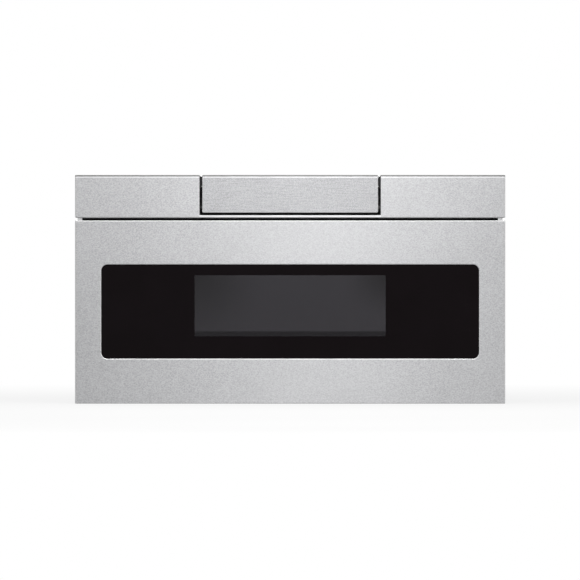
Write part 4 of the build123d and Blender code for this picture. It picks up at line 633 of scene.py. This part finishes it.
zinc_flower, given, result, node = new_group(
    "zinc_flower",
    [("Dark", COLOR, grey), ("Light", COLOR, grey), ("Scale", FLOAT, 90.0),
     ("Smooth", FLOAT, 0.3), ("Rough", FLOAT, 0.5)],
    [("Color", COLOR), ("Roughness", FLOAT), ("Height", FLOAT)])
place = node("TexCoord").outputs
ripple = node("TexNoise", [("Vector", place["Object"]), ("Scale", ripple_scale), ("Detail", 2.0)])
bent = node("VectorMath", [(0, ripple.outputs["Color"]), (1, 3 * (ripple_size,)),
                           (2, place["Object"])], operation="MULTIPLY_ADD")
crystal = node("TexVoronoi", [("Vector", bent.outputs[0]), ("Scale", given["Scale"])])
tone = node("SeparateColor", [(0, crystal.outputs["Color"])]).outputs
gloss = node("MapRange", [("Value", tone["Green"]), ("To Min", given["Smooth"]),
                          ("To Max", given["Rough"])])
feed(blended(zinc_flower, "RGBA", tone["Red"], given["Dark"], given["Light"]), result["Color"])
feed(gloss.outputs[0], result["Roughness"])
feed(tone["Blue"], result["Height"])

galvanised = new_finish("galvanised_sheet", metallic=1.0)
surface(galvanised, zinc_flower, Dark=(0.36, 0.372, 0.38, 1), Light=(0.44, 0.452, 0.46, 1),
        Scale=85.0, Smooth=0.56, Rough=0.68)
dress(galvanised, "base_plate", "left_side_panel", "right_side_panel", "rear_panel", "top_cover",
      "lamp_holder", "slide_supports", "switch_bracket")

# Painted light: the front frame gets a much brighter copy of the galvanised sheet, so that it
# shows lit inside the gap between the strip and the drawer front.
lit_zinc = new_finish("lit_zinc_sheet", metallic=1.0)
surface(lit_zinc, zinc_flower, Dark=(0.76, 0.765, 0.77, 1), Light=(0.80, 0.805, 0.81, 1),
        Scale=120.0, Smooth=0.20, Rough=0.26)
dress(lit_zinc, "front_frame")

zinc_plate = new_finish("zinc_plate", metallic=1.0)
surface(zinc_plate, belt_grain, depth=0.00001, Dark=(0.50, 0.51, 0.52, 1),
        Light=(0.60, 0.61, 0.62, 1), Along=30.0, Across=500.0, Smooth=0.25, Rough=0.38)
dress(zinc_plate, "left_drawer_arm", "right_drawer_arm", "inner_slides", "outer_slides",
      "left_middle_slide", "right_middle_slide", "drive_shaft", "stirrer_motor", "fan_motor",
      "drive_motor")

mill_aluminium = new_finish("mill_aluminium", metallic=1.0)
surface(mill_aluminium, belt_grain, Dark=(0.62, 0.63, 0.64, 1), Light=(0.72, 0.73, 0.74, 1),
        Along=20.0, Across=350.0, Smooth=0.3, Rough=0.45)
dress(mill_aluminium, "waveguide", "magnetron", "high_voltage_capacitor", "stirrer")

# ------------------------------------------------------------------ screws
# Pan-head screws with a cross recess, zinc plated, hold the case, the front frame and the
# drawer's arms. Each one sits in its hole, with its recess turned as the driver left it.
head_rise, head_radius = 0.0022, 0.0042
crown_radius = 0.0022                       # of the flat top of the head
crown_points = 24
head_arcs = 4
shank_radius, shank_length = 0.0020, 0.0070
slot_half, cross_half = 0.00045, 0.0015
cross_depth, cross_taper = 0.0012, 0.6
driver_turn = radians(137.5)
weld = 0.000002                             # corners closer than this are one

# Five squares of a grid of nine are sunk as the cross. The crown's circle is bridged to the
# grid, and the rounded side of the head and the shank grow out of that circle.
screw = bmesh.new()
on_crown = Matrix.Translation((0, 0, head_rise))
bmesh.ops.create_grid(screw, x_segments=3, y_segments=3, size=cross_half, matrix=on_crown)
for vert in screw.verts:
    for axis in (0, 1):
        half = cross_half if abs(vert.co[axis]) > cross_half / 2 else slot_half
        vert.co[axis] = copysign(half, vert.co[axis])
cross = [face for face in screw.faces if min(map(abs, face.calc_center_median().xy)) < slot_half]
sunk = verts_of(bmesh.ops.extrude_face_region(screw, geom=cross)["geom"])
bmesh.ops.scale(screw, verts=sunk, vec=(cross_taper, cross_taper, 1))
bmesh.ops.translate(screw, verts=sunk, vec=(0, 0, -cross_depth))
bmesh.ops.delete(screw, geom=cross, context="FACES")
crown = bmesh.ops.create_circle(screw, segments=crown_points, radius=crown_radius,
                                matrix=on_crown)["verts"]
bmesh.ops.bridge_loops(screw, edges=open_edges(screw) + list(ring_edges(set(crown))))
angles = [pi / 2 * (number + 1) / head_arcs for number in range(head_arcs)]
head = [(crown_radius + (head_radius - crown_radius) * sin(angle), head_rise * cos(angle))
        for angle in angles]
for radius, height in (*head, (shank_radius, 0), (shank_radius, -shank_length)):
    grown = bmesh.ops.extrude_edge_only(screw, edges=open_edges(screw))["geom"]
    for vert in verts_of(grown):
        vert.co = (*(vert.co.xy.normalized() * radius), height)
bmesh.ops.holes_fill(screw, edges=open_edges(screw), sides=0)
bmesh.ops.recalc_face_normals(screw, faces=screw.faces[:])
screw_mesh = bpy.data.meshes.new("screw")
screw.to_mesh(screw_mesh)
screw.free()


def islands(shape):
    """The separate bodies of a mesh, each one as a list of its vertices."""
    for first in shape.verts:
        if first.tag:
            continue
        first.tag = True
        found = [first]
        for vert in found:
            for edge in vert.link_edges:
                other = edge.other_vert(vert)
                if not other.tag:
                    other.tag = True
                    found.append(other)
        yield found


def driven_screws(name, node_name, body):
    """Sets a screw in the place of each plain one of a CAD node."""
    plain = bmesh.new()
    plain.from_mesh(nodes[node_name].data)
    bmesh.ops.remove_doubles(plain, verts=plain.verts[:], dist=weld)
    driven = bmesh.new()
    for count, found in enumerate(islands(plain)):
        low = Vector([min(vert.co[axis] for vert in found) for axis in range(3)])
        high = Vector([max(vert.co[axis] for vert in found) for axis in range(3)])
        axis = max(range(3), key=lambda number: (high - low)[number])
        # More of a plain screw's corners are on its head, so their mean lies to that side.
        mean = sum(vert.co[axis] for vert in found) / len(found)
        outward = Vector((0, 0, 0))
        outward[axis] = copysign(1, mean - (low + high)[axis] / 2)
        seat = (low + high) / 2 + outward * ((high - low)[axis] / 2 - head_rise)
        turned = outward.to_track_quat("Z", "Y").to_matrix().to_4x4()
        turned = turned @ Matrix.Rotation(driver_turn * count, 4, "Z")
        placed = screw_mesh.copy()
        placed.transform(Matrix.Translation(seat) @ turned)
        driven.from_mesh(placed)
        bpy.data.meshes.remove(placed)
    plain.free()
    piece = finished_piece(name, driven, zinc_plate, body, smooth=35)
    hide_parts(node_name)


driven_screws("case_cross_screws", "case_screws", "case")
driven_screws("arm_cross_screws", "arm_screws", "drawer")

# ------------------------------------------------------------------ oven cavity
# A welded steel box with light grey enamel. A mica sheet covers the stirrer in its roof, and a
# clear bulb behind one side lights the bin through a group of holes.
cavity_enamel = new_finish("cavity_enamel")
surface(cavity_enamel, mottle, depth=0.00003, Dark=(0.50, 0.51, 0.52, 1),
        Light=(0.56, 0.57, 0.58, 1), Scale=500.0, Smooth=0.22, Rough=0.34)
dress(cavity_enamel, "oven_cavity")

mica = new_finish("mica_sheet", specular=0.4)
surface(mica, mottle, depth=0.00002, Dark=(0.62, 0.59, 0.50, 1), Light=(0.74, 0.71, 0.62, 1),
        Scale=250.0, Smooth=0.35, Rough=0.5)
dress(mica, "stirrer_cover")

bulb_glass = new_finish("bulb_glass", Alpha=0.4)
surface(bulb_glass, mottle, Dark=(0.80, 0.80, 0.76, 1), Light=(0.88, 0.88, 0.84, 1),
        Scale=60.0, Smooth=0.03, Rough=0.06)
dress(bulb_glass, "lamp_bulb")

# ------------------------------------------------------------------ drive and electrics
# The racks, gears and bushes of the drive are moulded in nylon. The transformer is a varnished
# stack of iron with lacquered windings, and the two boards stand on pillars of nylon.
nylon = new_finish("natural_nylon", specular=0.4)
surface(nylon, mottle, depth=0.00002, Dark=(0.76, 0.75, 0.70, 1), Light=(0.83, 0.82, 0.78, 1),
        Scale=1200.0, Smooth=0.38, Rough=0.5)
dress(nylon, "left_rack", "right_rack", "rack_pinions", "shaft_gear", "motor_gear",
      "shaft_bushes", "interlock_tongue")

iron = new_finish("varnished_iron", metallic=0.6)
surface(iron, belt_grain, depth=0.00006, Dark=(0.10, 0.10, 0.105, 1), Light=(0.2, 0.2, 0.205, 1),
        Along=12.0, Across=900.0, Smooth=0.35, Rough=0.55)
limb, foot, lap = 0.016, 0.002, 0.017       # of the iron core, and the windings' overhang
winding_lacquer = (0.45, 0.15, 0.06, 1)
low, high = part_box("high_voltage_transformer")
core_rise = (low.z + foot + limb + high.z - limb) / 2
window_rise = (high.z - low.z - foot - 2 * limb) / 2
for side, edge in ((-1, low.y), (1, high.y)):
    winding = area_mask(iron, ((low.x + high.x) / 2, edge - side * lap / 2, core_rise),
                        (high.x - low.x, lap / 2, window_rise + mask_corner), mask_corner)
    tint(iron, winding, winding_lacquer)
dress(iron, "high_voltage_transformer")

board = new_finish("lacquered_board")
surface(board, mottle, Dark=(0.03, 0.17, 0.08, 1), Light=(0.06, 0.26, 0.13, 1),
        Scale=200.0, Smooth=0.25, Rough=0.4)
standoff, laminate = 0.006, 0.0016
parts_black = (0.018, 0.018, 0.020, 1)
pillar_nylon = (0.70, 0.69, 0.64, 1)
for name, side in (("noise_filter", -1), ("power_board", 1)):
    lacquered = board.copy()
    lacquered.name = name + "_board"
    low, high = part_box(name)
    wall, inner = (high.x, low.x) if side > 0 else (low.x, high.x)
    board_x = wall - side * (standoff + laminate)
    for start, end, color in ((board_x, inner, parts_black),
                              (wall - side * standoff, wall, pillar_nylon)):
        mask = area_mask(lacquered, ((start + end) / 2, 0, 0),
                         (abs(start - end) / 2 - mask_corner, through, through), mask_corner)
        tint(lacquered, mask, color)
    dress(lacquered, name)

rubber = new_finish("black_rubber", specular=0.25)
surface(rubber, mottle, depth=0.00003, Dark=(0.006, 0.006, 0.006, 1),
        Light=(0.012, 0.012, 0.012, 1), Scale=900.0, Smooth=0.6, Rough=0.75)
dress(rubber, "gap_gasket", "cord_gland")

# ------------------------------------------------------------------ key glass
# The keys are printed on a strip of black glass that is let into the slope of the wedge. The
# pale print is a raised film of enamel: plain words, digits and an outline round each key.
key_glass = new_finish("key_glass", specular=0.3)
surface(key_glass, mottle, Dark=(0.004, 0.004, 0.005, 1), Light=(0.006, 0.006, 0.007, 1),
        Scale=60.0, Smooth=0.04, Rough=0.07)
dress(key_glass, "key_glass")

slope = radians(40)
glass_sheet = 0.003
print_film = 0.00006
outline = 0.0004
key_corner = 0.002
word_size, digit_size, clock_size = 0.0054, 0.0084, 0.0160
word_key, digit_key = (0.0290, 0.0140), (0.0135, 0.0140)
key_rows = (0.0092, -0.0092)
key_words = (("POWER", "TIMER", "CLOCK", "START", "OPEN"),
             ("DEFROST", "REHEAT", "WARM", "STOP", "CLOSE"))
word_columns = (-0.0780, -0.0470, -0.0160, 0.0960, 0.1270)
digit_start, digit_step = 0.0085, 0.0155
clock_window = (0.0500, 0.0320)
clock_place = (-0.1220, 0.0)

glass_low, glass_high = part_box("key_glass")
front_edge = Vector((0, glass_low.y + glass_sheet * sin(slope), glass_high.z))
rear_edge = Vector((0, glass_high.y, glass_low.z + glass_sheet * cos(slope)))
lettering_up = Vector((0, cos(slope), -sin(slope)))
outward = Vector((0, sin(slope), cos(slope)))
key_plane = Matrix((Vector((1, 0, 0)), lettering_up, outward)).transposed().to_4x4()
key_plane.translation = (front_edge + rear_edge) / 2 + outward * print_film / 2


def add_to_print(film, shape, place):
    """Sets a flat shape on the glass at a place given from its middle, and adds it."""
    flat = bpy.data.meshes.new("flat")
    shape.to_mesh(flat)
    shape.free()
    flat.transform(key_plane @ Matrix.Translation((*place, 0)))
    film.from_mesh(flat)
    bpy.data.meshes.remove(flat)


def print_words(film, words, size, place):
    """Letters of the enamel film, centred on a place."""
    text = bpy.data.curves.new(words, "FONT")
    text.body = words
    text.size = size
    text.align_x, text.align_y = "CENTER", "CENTER"
    text.extrude = print_film / 2
    text.resolution_u = 3
    holder = bpy.data.objects.new(words, text)
    mesh = bpy.data.meshes.new_from_object(holder)
    shape = bmesh.new()
    shape.from_mesh(mesh)
    bmesh.ops.remove_doubles(shape, verts=shape.verts[:], dist=print_film / 20)
    bmesh.ops.dissolve_degenerate(shape, edges=shape.edges[:], dist=print_film / 20)
    bmesh.ops.recalc_face_normals(shape, faces=shape.faces[:])
    bpy.data.objects.remove(holder)
    bpy.data.curves.remove(text)
    bpy.data.meshes.remove(mesh)
    add_to_print(film, shape, place)


def print_outline(film, size, place):
    """The line round one key: a rounded plate without its middle, as thick as the film."""
    shape = bmesh.new()
    bmesh.ops.create_grid(shape, x_segments=1, y_segments=1, size=0.5,
                          matrix=Matrix.Diagonal((*size, 1, 1)))
    bmesh.ops.bevel(shape, geom=shape.verts[:], offset=key_corner, segments=5, profile=0.5,
                    affect="VERTICES", material=-1)
    middle = next(iter(shape.faces))
    bmesh.ops.inset_region(shape, faces=[middle], thickness=outline, use_boundary=True)
    bmesh.ops.delete(shape, geom=[middle], context="FACES_ONLY")
    bmesh.ops.translate(shape, verts=shape.verts[:], vec=(0, 0, -print_film / 2))
    bmesh.ops.solidify(shape, geom=shape.faces[:], thickness=-print_film)
    bmesh.ops.recalc_face_normals(shape, faces=shape.faces[:])
    add_to_print(film, shape, place)


legends = bmesh.new()
for words, height in zip(key_words, key_rows):
    for word, x in zip(words, word_columns):
        print_outline(legends, word_key, (x, height))
        print_words(legends, word, word_size, (x, height))
for digit in range(10):
    place = (digit_start + digit % 5 * digit_step, key_rows[digit // 5])
    print_outline(legends, digit_key, place)
    print_words(legends, str((digit + 1) % 10), digit_size, place)
print_outline(legends, clock_window, clock_place)

print_enamel = new_finish("print_enamel", specular=0.3)
surface(print_enamel, mottle, Dark=(0.66, 0.67, 0.68, 1), Light=(0.74, 0.75, 0.76, 1),
        Scale=900.0, Smooth=0.4, Rough=0.55)
finished_piece("key_legends", legends, print_enamel, "control_panel")

# The clock's digits shine through the glass in a pale blue.
clock = bmesh.new()
print_words(clock, "12:00", clock_size, clock_place)
clock_light = new_finish("clock_light", specular=0.3, Emission_Strength=0.6,
                         Emission_Color=(0.35, 0.75, 0.95, 1))
surface(clock_light, mottle, Dark=(0.30, 0.62, 0.78, 1), Light=(0.36, 0.70, 0.86, 1),
        Scale=900.0, Smooth=0.3, Rough=0.4)
finished_piece("clock_digits", clock, clock_light, "control_panel")

# ------------------------------------------------------------------ foam pads
# Two pads of black foam close the slit between the case's roof and the ears of the panel's
# housing, beside the swinging panel. They are stuck to the roof.
pad_inner, pad_outer = 0.1562, 0.1690
pad_front, pad_back = 0.0010, 0.0075
pad_round = 0.0003
pad_slack = 0.00005
ear_low = 0.3710

pads = bmesh.new()
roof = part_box("top_cover")[1].z
pad_size = Vector((pad_outer - pad_inner, pad_back - pad_front, ear_low - roof - 2 * pad_slack))
for side in (-1, 1):
    middle = Vector((side * (pad_inner + pad_outer) / 2, (pad_front + pad_back) / 2,
                     (roof + ear_low) / 2))
    bmesh.ops.create_cube(pads, matrix=Matrix.LocRotScale(middle, None, pad_size))
bmesh.ops.bevel(pads, geom=pads.edges[:], offset=pad_round, segments=2, profile=0.5,
                affect="EDGES", material=-1)
foam = new_finish("closed_foam", specular=0.1)
surface(foam, mottle, depth=0.00005, Dark=(0.010, 0.010, 0.010, 1),
        Light=(0.022, 0.022, 0.022, 1), Scale=2600.0, Smooth=0.8, Rough=0.9)
finished_piece("housing_foam_pads", pads, foam, "case", smooth=40)
